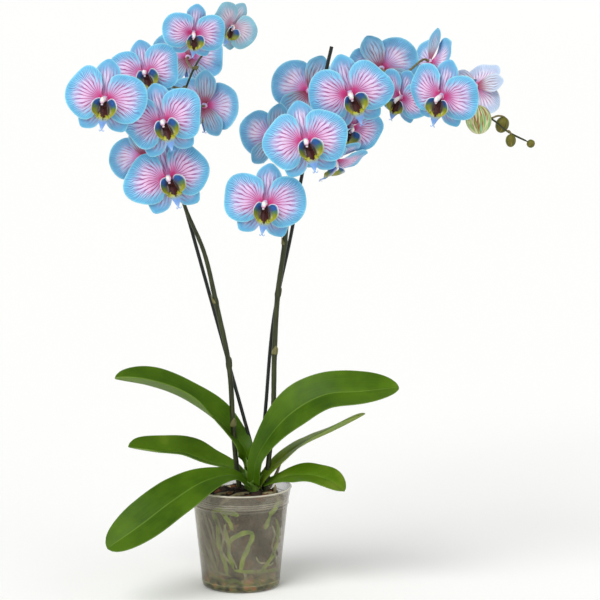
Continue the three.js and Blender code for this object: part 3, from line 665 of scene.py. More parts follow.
def petalSurface(u, v, side, seed, sweep):
    look = bloomSet
    phase = phaseOf(seed + side)
    edge = mix(look["low"], look["high"], u)
    angle = np.radians(mix(look["bestAngle"], edge, mix(0.5, 1, smoothStep(v, 0, 0.5))))
    lean = np.abs(2 * u - 1)
    corner = 1 - 0.15 * lean ** 5 - 0.07 * lean ** 14 * smoothStep(v, 0.5, 1)
    corner = corner * (1 + look["waver"] * np.sin(u * 15 + phase) * smoothStep(v, 0.3, 1))
    bulge = np.sin(u * 6.5 + 3 * phase) + 0.6 * np.sin(u * 12 + 5 * phase) - 0.5
    corner = corner * (1 + look["lopsided"] * bulge)
    r = mix(look["claw"], (look["reach"] - look["fallOff"] * (edge - look["bestAngle"]) ** 2) * corner, v)
    forward = 0.3 + 4.2 * smoothStep(v, 0.05, 0.5) - 5 * v ** 3 * (1 - 0.5 * lean ** 2)
    waves = 1.6 * v * v * np.sin(np.radians(edge) * 3.1 + phase)
    waves = waves + look["ruffle"] * v ** 4 * np.sin(u * 21 + 2 * phase)
    forward = forward + waves * (1 - 0.7 * lean ** 2)  # calmer where the sepals lie close behind
    flat = np.stack([side * r * np.cos(angle), -forward, r * np.sin(angle)], -1)
    return flat @ turnMatrix(side * sweep, "Z").T


def sepalSurface(u, v, sepal, side, bow, seed):
    length, halfWidth, turn = sepal
    s = 2 * u - 1
    across = s * halfWidth * np.sin(math.pi * mix(0.03, 0.8, v)) * roundTip(v, 0.0009)
    out = mix(bloomSet["claw"], length, v)
    forward = -1.4 - 1.2 * s ** 2 * smoothStep(v, 0, 0.3) + bow * v * v
    forward = forward - 0.8 * hump(s, 0.12) * v * (1 - v)  # keel along the back
    forward = forward + 0.5 * s ** 2 * np.sin(v * 9 + phaseOf(seed)) * v
    angle = math.radians(side * turn)
    return np.stack([out * math.sin(angle) + across * math.cos(angle), -forward,
                     out * math.cos(angle) - across * math.sin(angle)], -1)


def addTepal(body, surface, across, skins, facing):
    u, v = np.meshgrid(edgeSteps(across), tipSteps(18))
    u = 1 - u if facing < 0 else u
    middle = surface(u, v)
    sides, tip, ends = np.linspace(0.12, 1, 120), np.linspace(0, 1, 160), np.ones(160)
    outline = np.vstack([surface(np.zeros(120), sides), surface(np.ones(120), sides), surface(tip, ends)])
    gap = np.sqrt(((middle[:, :, None, :] - outline) ** 2).sum(-1).min(-1))
    depth = mix(bloomSet["marginThickness"], bloomSet["thickness"], smoothStep(gap, 0, 4))
    addShell(body, middle, depth, np.stack([u, v], -1), skins, gap)


def tepalBody(seed, sweep):
    body = []
    for side in (1, -1):
        addTepal(body, lambda u, v: petalSurface(u, v, side, seed, sweep), 24, (0, 1), -side)
    dorsalBow = mix(-5, 1, draw(seed + 9)) - 0.15 * max(0, sweep)
    lateralBow = -2 - 0.6 * max(0, sweep)
    sepals = [("dorsal", 1, dorsalBow), ("lateral", 1, lateralBow), ("lateral", -1, lateralBow)]
    for sepal, side, bow in sepals:
        surface = lambda u, v: sepalSurface(u, v, bloomSet[sepal], side, bow, seed + side * 3)
        addTepal(body, surface, 13, (2, 3), 1)
    addBall(body, (0, 1.0, 0), (4.2, 2.5, 4.2), 0)
    return body


lipSet = {
    "turn": 13.0,  # the lip looks a little to one side of the bloom
    # one side lobe: the line it grows from and its rim, as x, forward, z
    "root": [(2.6, 6.5, -3.5), (3.4, 8.5, -7.5), (4.2, 10.5, -12.0), (5.0, 12.0, -16.5)],
    "rim": [(4.0, 9.0, -1.4), (7.4, 13.2, 1.4), (11.8, 16.2, 0.2), (15.2, 17.8, -5.0), (15.4, 17.4, -11.0),
            (12.6, 15.6, -16.6), (7.6, 14.6, -20.5)],
    "cup": 3.6, "lobeThickness": 0.6, "tongueThickness": 0.7,
    # the middle lobe: half width by distance along, from z top to z tip, and how far forward
    "top": -2.6, "tip": -35.0,
    "halfWidths": [(0.0, 2.6), (0.15, 3.6), (0.3, 4.6), (0.42, 8.0), (0.52, 9.2), (0.62, 6.6), (0.72, 4.6),
                   (0.84, 3.0), (0.94, 1.6), (1.0, 0.7)],
    "forwards": [(0.0, 5.5), (0.2, 8.2), (0.45, 12.2), (0.6, 14.4), (0.75, 14.8), (1.0, 12.4)],
    "tendril": [(0.3, 12.6, -34.4), (0.9, 13.0, -36.0), (2.2, 14.0, -36.6), (2.9, 15.0, -35.6),
                (2.5, 15.4, -34.6)],
    "column": [(0, 1.5, 0.6), (0, 6, 0.6), (0, 10.0, -0.4), (0, 12.6, -2.2)],
}


def lipBody(seed):
    body, look = [], lipSet
    turn = turnMatrix(look["turn"], "Z").T
    u, v = np.meshgrid(np.linspace(0, 1, 19), np.concatenate([np.linspace(0, 0.94, 11), [0.98, 1]]))
    for side in (1, -1):
        flip = np.array([side, -1, 1])  # forward is -Y
        root, rim = (smoothPath(np.array(look[line]) * flip, 19) for line in ("root", "rim"))
        cup = look["cup"] * np.sin(math.pi * v ** 0.8) * np.sin(math.pi * u) ** 0.6
        curl = smoothStep(v, 0.8, 1) * 1.1  # the rim turns in
        wave = 0.5 * np.sin(u * 14 + phaseOf(seed + side)) * smoothStep(v, 0.6, 1)
        middle = mix(root[None], rim[None], v[..., None])
        middle = middle + np.stack([-curl * side * 0.8, cup - curl - wave, wave], -1)
        addShell(body, (middle @ turn)[:, ::-side], look["lobeThickness"], np.stack([u, v], -1)[:, ::-side])
    u, v = np.meshgrid(edgeSteps(13), tipSteps(24))
    x = (2 * u - 1) * np.interp(v, *zip(*look["halfWidths"]))
    forward = np.interp(v, *zip(*look["forwards"])) - 0.03 * x ** 2 + 0.6 * hump(x, 1.1)
    z = mix(look["top"], look["tip"], v) + 0.5 * np.sin(x * 0.9 + phaseOf(seed)) * (1 - v)
    tongue = np.stack([x, -forward, z], -1) @ turn
    addShell(body, tongue, look["tongueThickness"], np.stack([u, v], -1), (1, 1))
    for side in (1, -1):  # two curling tendrils at the tip, and a notched callus in the throat
        way = smoothPath(np.array(look["tendril"]) * [side, -1, 1], 14) @ turn
        addRings(body, ringsOf(way, np.linspace(0.6, 0.2, 14), 7), 1, (0.5, 0.9))
        bump = np.array([side * 1.3, -11.4, -8.4]) @ turn
        addBall(body, bump, (1.0, 1.3, 1.6), 1, rings=8, sides=10, surfaceMap=(0.5, 0.36))
    radii = 2.4 + 0.6 * np.linspace(0, 1, 14)
    radii[-3:] *= [0.97, 0.85, 0.5]
    addRings(body, ringsOf(smoothPath(np.array(look["column"]) * [1, -1, 1], 14), radii, 16, 1.12), 2)
    addBall(body, (0, -12.8, -1.4), (3.1, 2.6, 3.8), 2,
            shape=lambda height, turn: 1 - 0.1 * np.cos(2 * turn) - 0.12 * height)  # cap
    addBall(body, (0, -12.0, -6.0), (1.5, 1.2, 1.3), 2, rings=8, sides=12)  # beak below it
    return body


def bloomFrame(bloom):
    at, azimuth, up, roll, size = bloom[:5]
    whole = np.eye(4)
    whole[:3, :3] = turnMatrix(azimuth, "Z") @ turnMatrix(-up, "X") @ turnMatrix(roll, "Y") * size
    whole[:3, 3] = at
    return whole


for spikeName, blooms in spikeBlooms.items():
    for k, bloom in enumerate(blooms):
        name, seed = f"bloom_{spikeName}_{k + 1}", k + (0 if spikeName == "left" else 50)
        whole, sweep, missed = bloomFrame(bloom), bloom[5], bloom[6]
        petals = meshOf(tepalBody(seed, sweep), tepalSkins, whole, missed)
        place(f"{name}_petals", petals, "petal", f"{name}_tepals")
        place(f"{name}_labellum", meshOf(lipBody(seed), lipTissue, whole, missed), "lip", f"{name}_lip")
print("blooms made")

leafSet = {
    "thickest": 2.4, "edge": 0.9, "groove": 0.9, "ripple": 0.9,
    # paler, yellower leaves; on leaf_right_back this is painted light for a blade whose seen face lies in
    # shade
    "youthAndPaintedLight": {"leaf_right_low": 0.24, "leaf_right_back": 0.4, "leaf_left_back": 0.06},  # 0 unless given here
}
# half width, fold, the way the upper face looks at the foot and the tip, how soon it settles, and the midrib
leaves = {
    "leaf_left_high": (31, 30, (-0.5, -0.1, 0.8), (0.2, -0.12, 1), 1.0, [
        (12, 6, 128), (7, 7, 156), (-16, 12, 184), (-46, 16, 208), (-76, 15, 226), (-108, 10, 238),
        (-146, 2, 246)]),
    "leaf_right_high": (30, 16, (-0.5, -0.8, 0.4), (0.05, -0.42, 0.9), 1.0, [
        (16, -9, 122), (19, -12, 152), (40, -16, 188), (66, -22, 214), (100, -26, 232), (142, -28, 236),
        (184, -24, 240)]),
    "leaf_right_back": (20, 12, (-0.4, -0.75, 0.6), (-0.4, 0.17, 1), 0.5, [
        (20, -4, 120), (30, -5, 134), (48, 4, 150), (74, 16, 166), (108, 28, 180), (146, 38, 197)]),
    "leaf_right_low": (19, 14, (-0.1, -0.5, 0.9), (0.5, -0.5, 0.7), 1.0, [
        (27, -2, 121), (43, -4, 127), (60, -8, 132), (82, -18, 135), (103, -27, 131), (121, -34, 120)]),
    "leaf_left_back": (26, 26, (-0.2, -0.2, 0.9), (0.15, -0.25, 1), 1.0, [
        (8, 8, 120), (-10, 20, 134), (-40, 34, 140), (-66, 42, 148), (-98, 46, 150), (-134, 44, 156)]),
    "leaf_left_front": (30, 10, (0.1, -0.5, 0.9), (-0.5, -0.75, 0.6), 1.0, [
        (9, -8, 122), (-8, -22, 136), (-40, -45, 134), (-76, -72, 117), (-112, -92, 93), (-149, -104, 69)]),
}


def leafSkin(name, dark, light, rib, shine):
    # waxy strap leaf: green mottled over 40 mm, lighter towards the tip as a painted sheen and darker at the
    # foot as painted shade, fine lengthways veins, a pale midrib line
    material, shader, add = newMaterial(
        name, roughness=shine, subsurface=0.04, scatter=0.0015, coat=0.03, coatRoughness=0.3, specular=0.1)
    here = add("TexCoord").outputs["Object"]
    young = add("Attribute", attribute_name="paleness").outputs["Fac"]
    across, along = acrossAlong(add)
    patches = add("TexNoise", {"Vector": here, "Scale": 24.0, "Detail": 5.0})
    # lighter towards the tip: a painted sheen
    outer = add("Math", [along, 0.1, patches], operation="MULTIPLY_ADD")
    # paleness: on leaf_right_back it is painted light for a blade that lies in shade
    tone = add("Math", [outer, young], operation="ADD")
    tint = add("ValToRGB", [tone], [(0.36, dark), (0.76, light), (1.0, "#7d8f2a")])
    # veins about 1.3 mm apart, along the blade
    flat = add("CombineXYZ", [across, along])
    stretched = add("VectorMath", [flat, (46.0, 5.0, 0.0)], operation="MULTIPLY")
    fine = add("TexNoise", {"Vector": stretched, "Scale": 1.0, "Detail": 2.0})
    stripe = add("MapRange", [fine, 0.35, 0.7, 0.0, 0.32])
    colour = add("Mix", {0: stripe, 6: tint, 7: light}, data_type="RGBA")
    far = add("Math", [add("Math", [across, 0.5], operation="SUBTRACT")], operation="ABSOLUTE")
    for spot, low, high, start, end, paint in (
            (far, 0.008, 0.028, 0.4, 0.0, rib),  # midrib
            (far, 0.475, 0.498, 0.0, 0.45, rib),  # margin
            # the foot is painted shade, where the leaves crowd in at the crown
            (along, 0.0, 0.16, 0.5, 0.0, dark)):  # foot
        cover = add("MapRange", [spot, low, high, start, end])
        colour = add("Mix", {0: cover, 6: colour, 7: paint}, data_type="RGBA")
    pores = add("TexNoise", {"Vector": here, "Scale": 1400.0, "Detail": 1.0})  # drawn coarse, at 0.7 mm
    height = add("Math", [fine, 1.6, pores], operation="MULTIPLY_ADD")
    setInputs(shader, {
        "Base Color": colour, "Roughness": add("MapRange", [patches, 0.3, 0.7, shine - 0.07, shine + 0.1]),
        "Normal": add("Bump", {"Strength": 0.3, "Distance": 0.0004, "Height": height})})
    return material


leafSkins = [leafSkin("leafUpperWax", "#2a4803", "#4d6d0d", "#72903a", 0.42),
             leafSkin("leafUnderside", "#4d6b18", "#6d8a30", "#8aa350", 0.5)]


def leafBody(halfWidth, fold, footFace, tipFace, settled, midrib, seed):
    fine = smoothPath(midrib, 801)
    slope = unit(np.gradient(fine, axis=0))
    v = np.concatenate([[0, 0.008], np.linspace(0.03, 0.97, 62), [0.99, 0.997, 1]])[:, None]
    u = edgeSteps(25)
    at = v[:, 0] ** 0.9 * 800  # closer together at the foot
    pick = lambda table: np.stack([np.interp(at, np.arange(801), table[:, k]) for k in range(3)], 1)
    centre, tangent = pick(fine), unit(pick(slope))
    face = unit(mix(np.array(footFace, float), np.array(tipFace, float), np.minimum(1, v / settled)))
    side = unit(np.cross(tangent, face))
    normal = unit(np.cross(side, tangent))
    tip = roundTip(v, 0.0004)
    wide = halfWidth * (0.3 + 0.7 * smoothStep(v, 0.02, 0.5)) * tip
    s = 2 * u[None] - 1
    rise = (np.sqrt(s * s + 0.01) - 0.1) * wide * math.sin(math.radians(fold))
    rise = rise - leafSet["groove"] * hump(s * wide, 1.8) * smoothStep(v, 0.02, 0.2) * tip
    wave = np.sin(v * 14 + phaseOf(seed)) * smoothStep(v, 0.1, 0.4)
    rise = rise + leafSet["ripple"] * s * np.abs(s) * wave
    middle = centre[:, None] + side[:, None] * (s * wide * math.cos(math.radians(fold)))[..., None]
    middle = middle + normal[:, None] * rise[..., None]
    depth = mix(leafSet["edge"], leafSet["thickest"], 1 - np.abs(s) ** 1.5) * mix(0.6, 1, tip)
    body = []
    addShell(body, middle, depth, np.stack(np.meshgrid(u, v), -1), (0, 1))
    return body


for k, (name, leaf) in enumerate(leaves.items()):
    blade = meshOf(leafBody(*leaf, seed=k + 3), leafSkins, paleness=leafSet["youthAndPaintedLight"].get(name, 0.0))
    place(f"{name}_blade", blade, "leaf", name)
print("leaves made")

spikeSet = {
    "footRadius": 3.0, "tipRadius": 1.1, "stalkStart": 1.5, "stalkEnd": 1.2, "stalkReach": 34.0,
    "stalkSeat": 3.1, "budStalk": 1.15, "stakeRadius": 2.1,
    "nodes": {"left": [190, 262, 338], "right": [279, 348, 407]},  # heights of the joints of each stem
}
spikePaths = {
    "left": [
        (0, 12, 100), (-6, 11, 150), (-9, 4, 196), (-13, -3, 262), (-28, -4, 338), (-41, -6, 395),
        (-65, -9, 456), (-72, -12, 503), (-69, -14, 549), (-58, -12, 592), (-42, -10, 622), (-20, -12, 640)],
    "right": [
        (29, -1, 100), (33, -1, 150), (38, 0, 198), (40, -5, 279), (44, -9, 348), (52, -11, 407),
        (59, -12, 480), (73, -13, 532), (96, -13, 572), (129, -10, 596), (170, -8, 602), (212, -11, 588),
        (252, -16, 568), (289, -19, 550), (307, -20, 536), (331, -20, 524)],
}
stakePaths = {
    "left": [(41, 20, 60), (11, 15, 170), (-65, 3, 454), (-80, 1, 508)],
    "right": [(7, 12, 22), (27, 9, 185), (39, 3, 316), (59, 2, 414), (74, 5, 494), (106, 16, 631)],
}
# middle, half width, half height, lean, and where its stalk leaves the spike
buds = [
    ((272, -33, 551), 15.0, 16.5, -6, (256, -16, 568)), ((301, -8, 543), 7.8, 9.5, 22, (288, -19, 551)),
    ((310, -21, 526), 6.0, 7.4, 4, (306, -20, 537)), ((333, -20, 522.5), 4.8, 4.8, 60, (331, -20, 524)),
]


def stemSkin(name, dark, light, speck, roughness):
    # smooth stem: streaks 2 mm wide, pale specks 1.5 mm apart, a faint bloom of wax
    material, shader, add = newMaterial(
        name, roughness=roughness, subsurface=0.05, scatter=0.001, coat=0.05, coatRoughness=0.3, specular=0.3)
    here = add("TexCoord").outputs["Object"]
    stretched = add("Mapping", {"Vector": here, "Scale": (420.0, 420.0, 40.0)})
    streak = add("TexNoise", {"Vector": stretched, "Scale": 1.0, "Detail": 3.0})
    tint = add("ValToRGB", [streak], [(0.35, dark), (0.68, light)])
    dot = add("MapRange", [add("TexVoronoi", {"Vector": here, "Scale": 700.0}), 0.1, 0.2, 0.5, 0.0])
    setInputs(shader, {
        "Base Color": add("Mix", {0: dot, 6: tint, 7: speck}, data_type="RGBA"),
        "Normal": add("Bump", {"Strength": 0.3, "Distance": 0.0003, "Height": streak})})
    return material


spikeSkin = stemSkin("spikeStemGreen", "#1e240d", "#373e1a", "#5e6438", 0.45)
stalkSkin = stemSkin("flowerStalkOlive", "#56502a", "#857a4c", "#a09470", 0.42)
bractSkin = stemSkin("driedBract", "#55552e", "#7d784e", "#97906a", 0.7)
stakeSkin = stemSkin("stakeDarkLacquer", "#0c130e", "#18221a", "#2a352c", 0.4)
crownSkin = stemSkin("crownSheathGreen", "#3d5c17", "#5f7d2c", "#86994e", 0.45)


def roundedEnd(way, radii, lengths=3):
    return way, np.concatenate([radii[:-lengths], radii[-lengths:] * np.linspace(0.95, 0.35, lengths)])


def nearestOn(way, aim):
    return way[np.argmin(np.linalg.norm(way - np.asarray(aim, float), axis=1))]


def stemOf(way, heights):
    # a tapering stem, swollen for a few millimetres at each joint
    t = smoothStep(np.linspace(0, 1, len(way)), 0.3, 1)
    radii = mix(spikeSet["footRadius"], spikeSet["tipRadius"], t)
    for height in heights:
        near = way[np.argmin(np.abs(way[:, 2] - height))]
        radii = radii + 0.7 * hump(np.linalg.norm(way - near, axis=1), 3.5)
    return roundedEnd(way, radii)


def stalkPath(way, bloom):
    whole = bloomFrame(bloom)
    back = lambda distance: whole[:3, :3] @ np.array([0, distance, 0]) + whole[:3, 3]
    seat = spikeSet["stalkSeat"]
    start = nearestOn(way, back(spikeSet["stalkReach"]))
    bend = mix(start, back(16), 0.45) + np.array([0, 0, -2])
    t = np.linspace(0, 1, 24)
    swell = 0.9 * hump(t, 0.06) + 0.5 * hump(1 - t, 0.08)
    path = smoothPath([start, bend, back(seat + 7), back(seat)], 24)
    return path, mix(spikeSet["stalkStart"], spikeSet["stalkEnd"], t) + swell


def addBract(body, way, height, turn, length=11.0):
    # a small dry scale that wraps half of the stem at a joint
    near = min(max(int(np.argmin(np.abs(way[:, 2] - height))), 2), len(way) - 3)
    axis = unit(way[near + 2] - way[near - 2])
    side = unit(np.cross(axis, [math.cos(turn), math.sin(turn), 0.2]))
    up = np.cross(side, axis)
    u, v = np.meshgrid(np.linspace(-1, 1, 11), np.linspace(0, 1, 9))
    angle = u * 1.5 * (1 - v ** 1.6) + 1e-3 * u
    radius = 3.6 + 0.9 * v
    middle = way[near] + axis * ((v - 0.15) * length)[..., None]
    middle = middle + side * (radius * np.sin(angle))[..., None] + up * (radius * np.cos(angle))[..., None]
    addShell(body, middle, 0.5, np.stack([u, v], -1))


def budSkin():
    # closed bud: three pressed sepals, green to cream, blushed and striped lengthways, 24 stripes round
    material, shader, add = newMaterial(
        "budGreenBlush", roughness=0.45, subsurface=0.08, scatter=0.0015, specular=0.25)
    flat = add("CombineXYZ", acrossAlong(add))
    stretched = add("VectorMath", [flat, (24.0, 1.1, 0.0)], operation="MULTIPLY")
    stripes = add("TexNoise", {"Vector": stretched, "Scale": 1.0, "Detail": 2.0})
    mature = add("ValToRGB", [stripes], [
        (0.28, "#63a888"), (0.38, "#8fb45c"), (0.46, "#d6d8a8"), (0.5, "#c9b58e"), (0.535, "#94493e"),
        (0.58, "#86a648"), (0.72, "#93cbae")])
    small = add("ValToRGB", [stripes], [
        (0.3, "#3c4110"), (0.5, "#666a1e"), (0.6, "#6e5026"), (0.72, "#8a8c3c")])
    young = add("Attribute", attribute_name="paleness").outputs["Fac"]
    # cells drawn coarse, 1 mm across, to show
    grain = add("TexNoise", {"Vector": add("TexCoord").outputs["Object"], "Scale": 900.0})
    setInputs(shader, {
        "Base Color": add("Mix", {0: young, 6: mature, 7: small}, data_type="RGBA"),
        "Normal": add("Bump", {"Strength": 0.25, "Distance": 0.0002, "Height": grain})})
    return material


def budForm(height, turn):
    # three sepals meet in shallow grooves that deepen towards the tip
    seam = np.abs(np.cos(1.5 * turn)) ** 0.5
    return 1 - 0.09 * (1 - seam) * smoothStep(-height, -0.7, 0.9)


def makeBuds(way):
    # the buds as one piece, and a stalk for each
    body, stalks, young = [], [], []
    for k, (at, halfWidth, halfHeight, lean, start) in enumerate(buds):
        turn = turnMatrix(lean, "Y")
        addBall(body, at, (halfWidth, halfWidth * 0.92, halfHeight), 0, turn, 28, 36, budForm)
        young += [min(k, 1)] * len(body[-1][0])  # all but the first are small and dark
        top = turn @ np.array([0, 0, halfHeight * 0.9]) + np.array(at)
        foot = nearestOn(way, start)
        over = mix(foot, top, 0.55) + np.array([0, 0, halfHeight * 0.28])
        path = smoothPath([foot, over, top, mix(top, np.array(at, float), 0.3)], 18)
        stalks.append((path, np.full(18, spikeSet["budStalk"])))
    place("spike_right_buds", meshOf(body, [budSkin()], paleness=np.array(young)), "spike", "spike_right")
    return stalks


for side, blooms in spikeBlooms.items():
    way, joints, node = smoothPath(spikePaths[side], 260), spikeSet["nodes"][side], f"spike_{side}"
    tubes(f"{node}_stem", [stemOf(way, joints)], spikeSkin, "spike", node, spacing=2.5, sides=16, wobble=0.5)
    stalks = [stalkPath(way, bloom) for bloom in blooms]
    bracts = []
    for k, height in enumerate(joints):
        addBract(bracts, way, height, 2.2 * k - 1.2)
    for path, _ in stalks:
        addBract(bracts, way, nearestOn(way, path[0])[2], phaseOf(path[0][2]), 6.0)
    if side == "right":
        stalks += makeBuds(way)
    tubes(f"{node}_stalks", stalks, stalkSkin, "spike", node, spacing=1.6, wobble=0.2)
    place(f"{node}_bracts", meshOf(bracts, [bractSkin]), "spike", node)
    stake = smoothPath(stakePaths[side], 200), np.full(200, spikeSet["stakeRadius"])
    tubes(f"stake_{side}_rod", [stake], stakeSkin, "stake", f"stake_{side}", spacing=4.0, sides=16,
          wobble=0.25, grain=160.0)
print("spikes made")

potSet = {
    "height": 119.0, "rimRadius": 60.0, "footRadius": 45.0, "rimStep": 2.5, "wall": 0.9, "floor": 1.2,
    "segments": 144, "ribs": [101.5, 104.0, 106.5], "ribRise": 0.55, "lip": 1.15,
    "holes": 5, "holeCircle": 32.0, "holeRadius": 3.0, "holeTurn": 0.3,
}


def innerAt(z):  # radius of the wall's inner face
    pot = potSet
    return mix(pot["footRadius"], pot["rimRadius"] - pot["rimStep"], z / pot["height"]) - pot["wall"]


def turnedBody(profile, segments):
    # turned round Z from radius and height pairs, anticlockwise in section
    profile = np.array(profile, float)
    around = np.linspace(0, 2 * math.pi, segments, endpoint=False)
    rings = np.stack([np.outer(profile[:, 0], np.cos(around)), np.outer(profile[:, 0], np.sin(around)),
                      np.repeat(profile[:, 1:], segments, 1)], -1)
    body = []
    addRings(body, rings, 0)
    return body


def potSkin():
    # thermoformed clear polystyrene: glossy, misted by damp inside, denser at the rim and foot, with painted
    # highlight lines along the ribs, the lip and the foot
    material, shader, add = newMaterial("clearPotPlastic", roughness=0.16, ior=1.5, specular=0.7)
    here = add("TexCoord").outputs["Object"]
    mist = add("TexNoise", {"Vector": here, "Scale": 30.0, "Detail": 5.0})  # clouds of 33 mm
    drops = add("TexNoise", {"Vector": here, "Scale": 320.0, "Detail": 2.0})  # drops of 3 mm
    face = add("LayerWeight", {"Blend": 0.3}).outputs["Facing"]
    ways = add("SeparateXYZ", [here]).outputs
    height = ways["Z"]
    thin = add("MapRange", [mist, 0.35, 0.68, 0.14, 0.27])
    colder = add("MapRange", [ways["X"], 0.0, -0.05, 0.0, 0.16])
    haze = add("Math", [thin, colder], operation="ADD")
    level = add("MapRange", [height, 0.0, 0.12])
    # the plastic is thicker along the foot, the ribs and the lip, and these bands also carry painted
    # highlight lines: share of the height, and grey
    bands = [(0.0, 51), (0.03, 0), (0.064, 0), (0.07, 108), (0.078, 0), (0.8, 0), (0.815, 64), (0.835, 16),
             (0.846, 112), (0.857, 20), (0.867, 112), (0.878, 20), (0.888, 112), (0.9, 20), (0.905, 44),
             (0.972, 40), (0.984, 148)]
    thickBandAndHighlight = add("ValToRGB", [level], [(spot, "#" + f"{grey:02x}" * 3) for spot, grey in bands])
    low = add("MapRange", [height, 0.03, 0.006, 0.0, 0.85])
    stained = add("Math", [low, 0.34, haze], operation="MULTIPLY_ADD")
    veil = add("Math", [thickBandAndHighlight, 1.6, stained], operation="MULTIPLY_ADD")
    edge = add("Math", [face, 0.42, veil], operation="MULTIPLY_ADD", use_clamp=True)
    damp = add("ValToRGB", [mist], [(0.3, "#7d7464"), (0.7, "#9d957f")])
    grime = add("TexNoise", {"Vector": here, "Scale": 120.0, "Detail": 4.0})  # stains of 8 mm
    dirt = add("ValToRGB", [grime], [
        (0.4, "#1c1c08"), (0.48, "#4c521a"), (0.56, "#75783a"), (0.6, "#9a6234")])
    algae = add("Mix", {0: low, 6: damp, 7: dirt}, data_type="RGBA")
    # painted highlight lines along the foot, the ribs and the lip, paler from the foot up to half the height
    paintedHighlightLines = add("Math", [thickBandAndHighlight, 2.4], operation="MULTIPLY", use_clamp=True)
    highlightColour = add("ValToRGB", [level], [(0.05, "#9c9c74"), (0.5, "#e2deca")])
    setInputs(shader, {
        "Alpha": edge, "Base Color": add("Mix", {0: paintedHighlightLines, 6: algae, 7: highlightColour}, data_type="RGBA"),
        "Roughness": add("MapRange", [drops, 0.4, 0.7, 0.12, 0.32]),
        "Normal": add("Bump", {"Strength": 0.12, "Distance": 0.0003, "Height": drops})})
    return material


def makePot():
    pot, foot, rim = potSet, potSet["footRadius"], potSet["rimRadius"]
    outer = lambda z, out=0.0, up=0.0: (innerAt(z) + pot["wall"] + out, z + up)
    profile = [(0.01, 0), (foot - 3.2, 0), (foot - 2, 0.6), outer(2.5), outer(5), outer(8, 0.5, -0.4),
               outer(8, 0.5, 0.2), outer(9, 0, 0.2)]
    profile += [outer(z) for z in np.linspace(14, 97, 18)]
    profile += [outer(97.6, 0.3, 0.2), outer(98, 1.0, 0.6), outer(99, 1.0, 0.4), outer(100, 0, 0.2)]
    for rib in pot["ribs"]:
        profile += [outer(rib - 0.8), outer(rib, pot["ribRise"], -0.25), outer(rib, pot["ribRise"], 0.25),
                    outer(rib + 0.8)]
    profile += [outer(108.4), outer(109, 1.2, 0.2), (rim - 1.2, 115.4)]
    for turn in np.radians(np.linspace(-60, 200, 12)):  # the rolled lip
        out, up = pot["lip"] * (math.cos(turn) - 1), pot["lip"] * (math.sin(turn) - 1)
        profile.append((rim + out, pot["height"] + up))
    profile += [(rim - 2.2, 115.6), (innerAt(109) + 0.4, 109), (innerAt(100), 100)]
    profile += [(innerAt(z), z) for z in np.linspace(92, 8, 14)]
    floor = pot["floor"]
    profile += [(innerAt(4), 4), (foot - 3, floor + 0.4), (foot - 4.2, floor), (0.01, floor)]
    # the section starts and ends beside the axis, so the ends close on it
    shell = runTree(makeDrainTree(), meshOf(turnedBody(profile, pot["segments"]), []), {
        "Holes": pot["holes"], "Circle": pot["holeCircle"] * mm, "Radius": pot["holeRadius"] * mm,
        "Turn": pot["holeTurn"], "Skin": potSkin()})
    place("pot_shell", shell, "pot_plastic", "pot")


makePot()

barkSet = {
    "top": 110.0, "crownSwell": 3.0, "coreGap": 8.6, "chipGap": 3.3, "apart": 6.6,
    "chip": (14.0, 9.5, 5.0), "tilt": 0.42, "seed": 11,
}


def barkSkins():
    # composted pine bark: dark crumbs of 7 mm, and reddish and orange faces where a chip has split,
    # shaded in layers of 5 mm
    core, shader, add = newMaterial("dampBarkDust", roughness=0.95, specular=0.2)
    crumbs = add("TexNoise", {"Vector": add("TexCoord").outputs["Object"], "Scale": 140.0, "Detail": 3.0})
    setInputs(shader, {
        "Base Color": add("ValToRGB", [crumbs], [(0.35, "#1b1512"), (0.65, "#362a23")]),
        "Normal": add("Bump", {"Strength": 0.5, "Distance": 0.002, "Height": crumbs})})
    chip, shader, add = newMaterial("pineBarkChip", roughness=0.85, specular=0.25)
    layers = add("TexNoise", {
        "Vector": add("TexCoord").outputs["Object"], "Scale": 190.0, "Detail": 5.0, "Distortion": 1.2})
    tint = add("ValToRGB", [add("Attribute", attribute_name="chipTone").outputs["Fac"]], [
        (0.0, "#17120e"), (0.4, "#2b221b"), (0.7, "#3b2c22"), (0.86, "#4d3526"), (0.93, "#84502c"),
        (1.0, "#8a7250")])
    shade = add("MapRange", [layers, 0.3, 0.7, 0.7, 0.0])
    setInputs(shader, {
        "Base Color": add("Mix", {0: shade, 6: tint, 7: "#1a1310"}, data_type="RGBA"),
        "Normal": add("Bump", {"Strength": 0.7, "Distance": 0.0012, "Height": layers})})
    return core, chip


def makeBark():
    coreSkin, chipSkin = barkSkins()
    foot, bark = potSet["floor"] + 1.0, barkSet
    top, coreAt = bark["top"], lambda z: innerAt(z) - bark["coreGap"]
    profile = [(0.01, foot), (coreAt(foot) - 2, foot)]
    profile += [(coreAt(z), z) for z in np.linspace(8, top - 14, 16)]
    profile += [(coreAt(top) - 1, top - 7), (coreAt(top) - 6, top - 3)]
    profile += [(20, top), (0.01, top + bark["crownSwell"])]
    core = place("bark_core", meshOf(turnedBody(profile, 72), [coreSkin]), "bark", "bark")
    length, width, thickness = bark["chip"]
    chips = runTree(makeChipTree(), core.data.copy(), {
        "Gap": bark["apart"] * mm, "Length": length * mm, "Width": width * mm, "Thickness": thickness * mm,
        "Tilt": bark["tilt"], "Foot Radius": (innerAt(0) - bark["chipGap"]) * mm,
        "Flare": innerAt(1) - innerAt(0), "Floor": foot * mm, "Seed": bark["seed"], "Skin": chipSkin})
    place("bark_chips", chips, "bark", "bark")


makeBark()
print("pot and bark made")

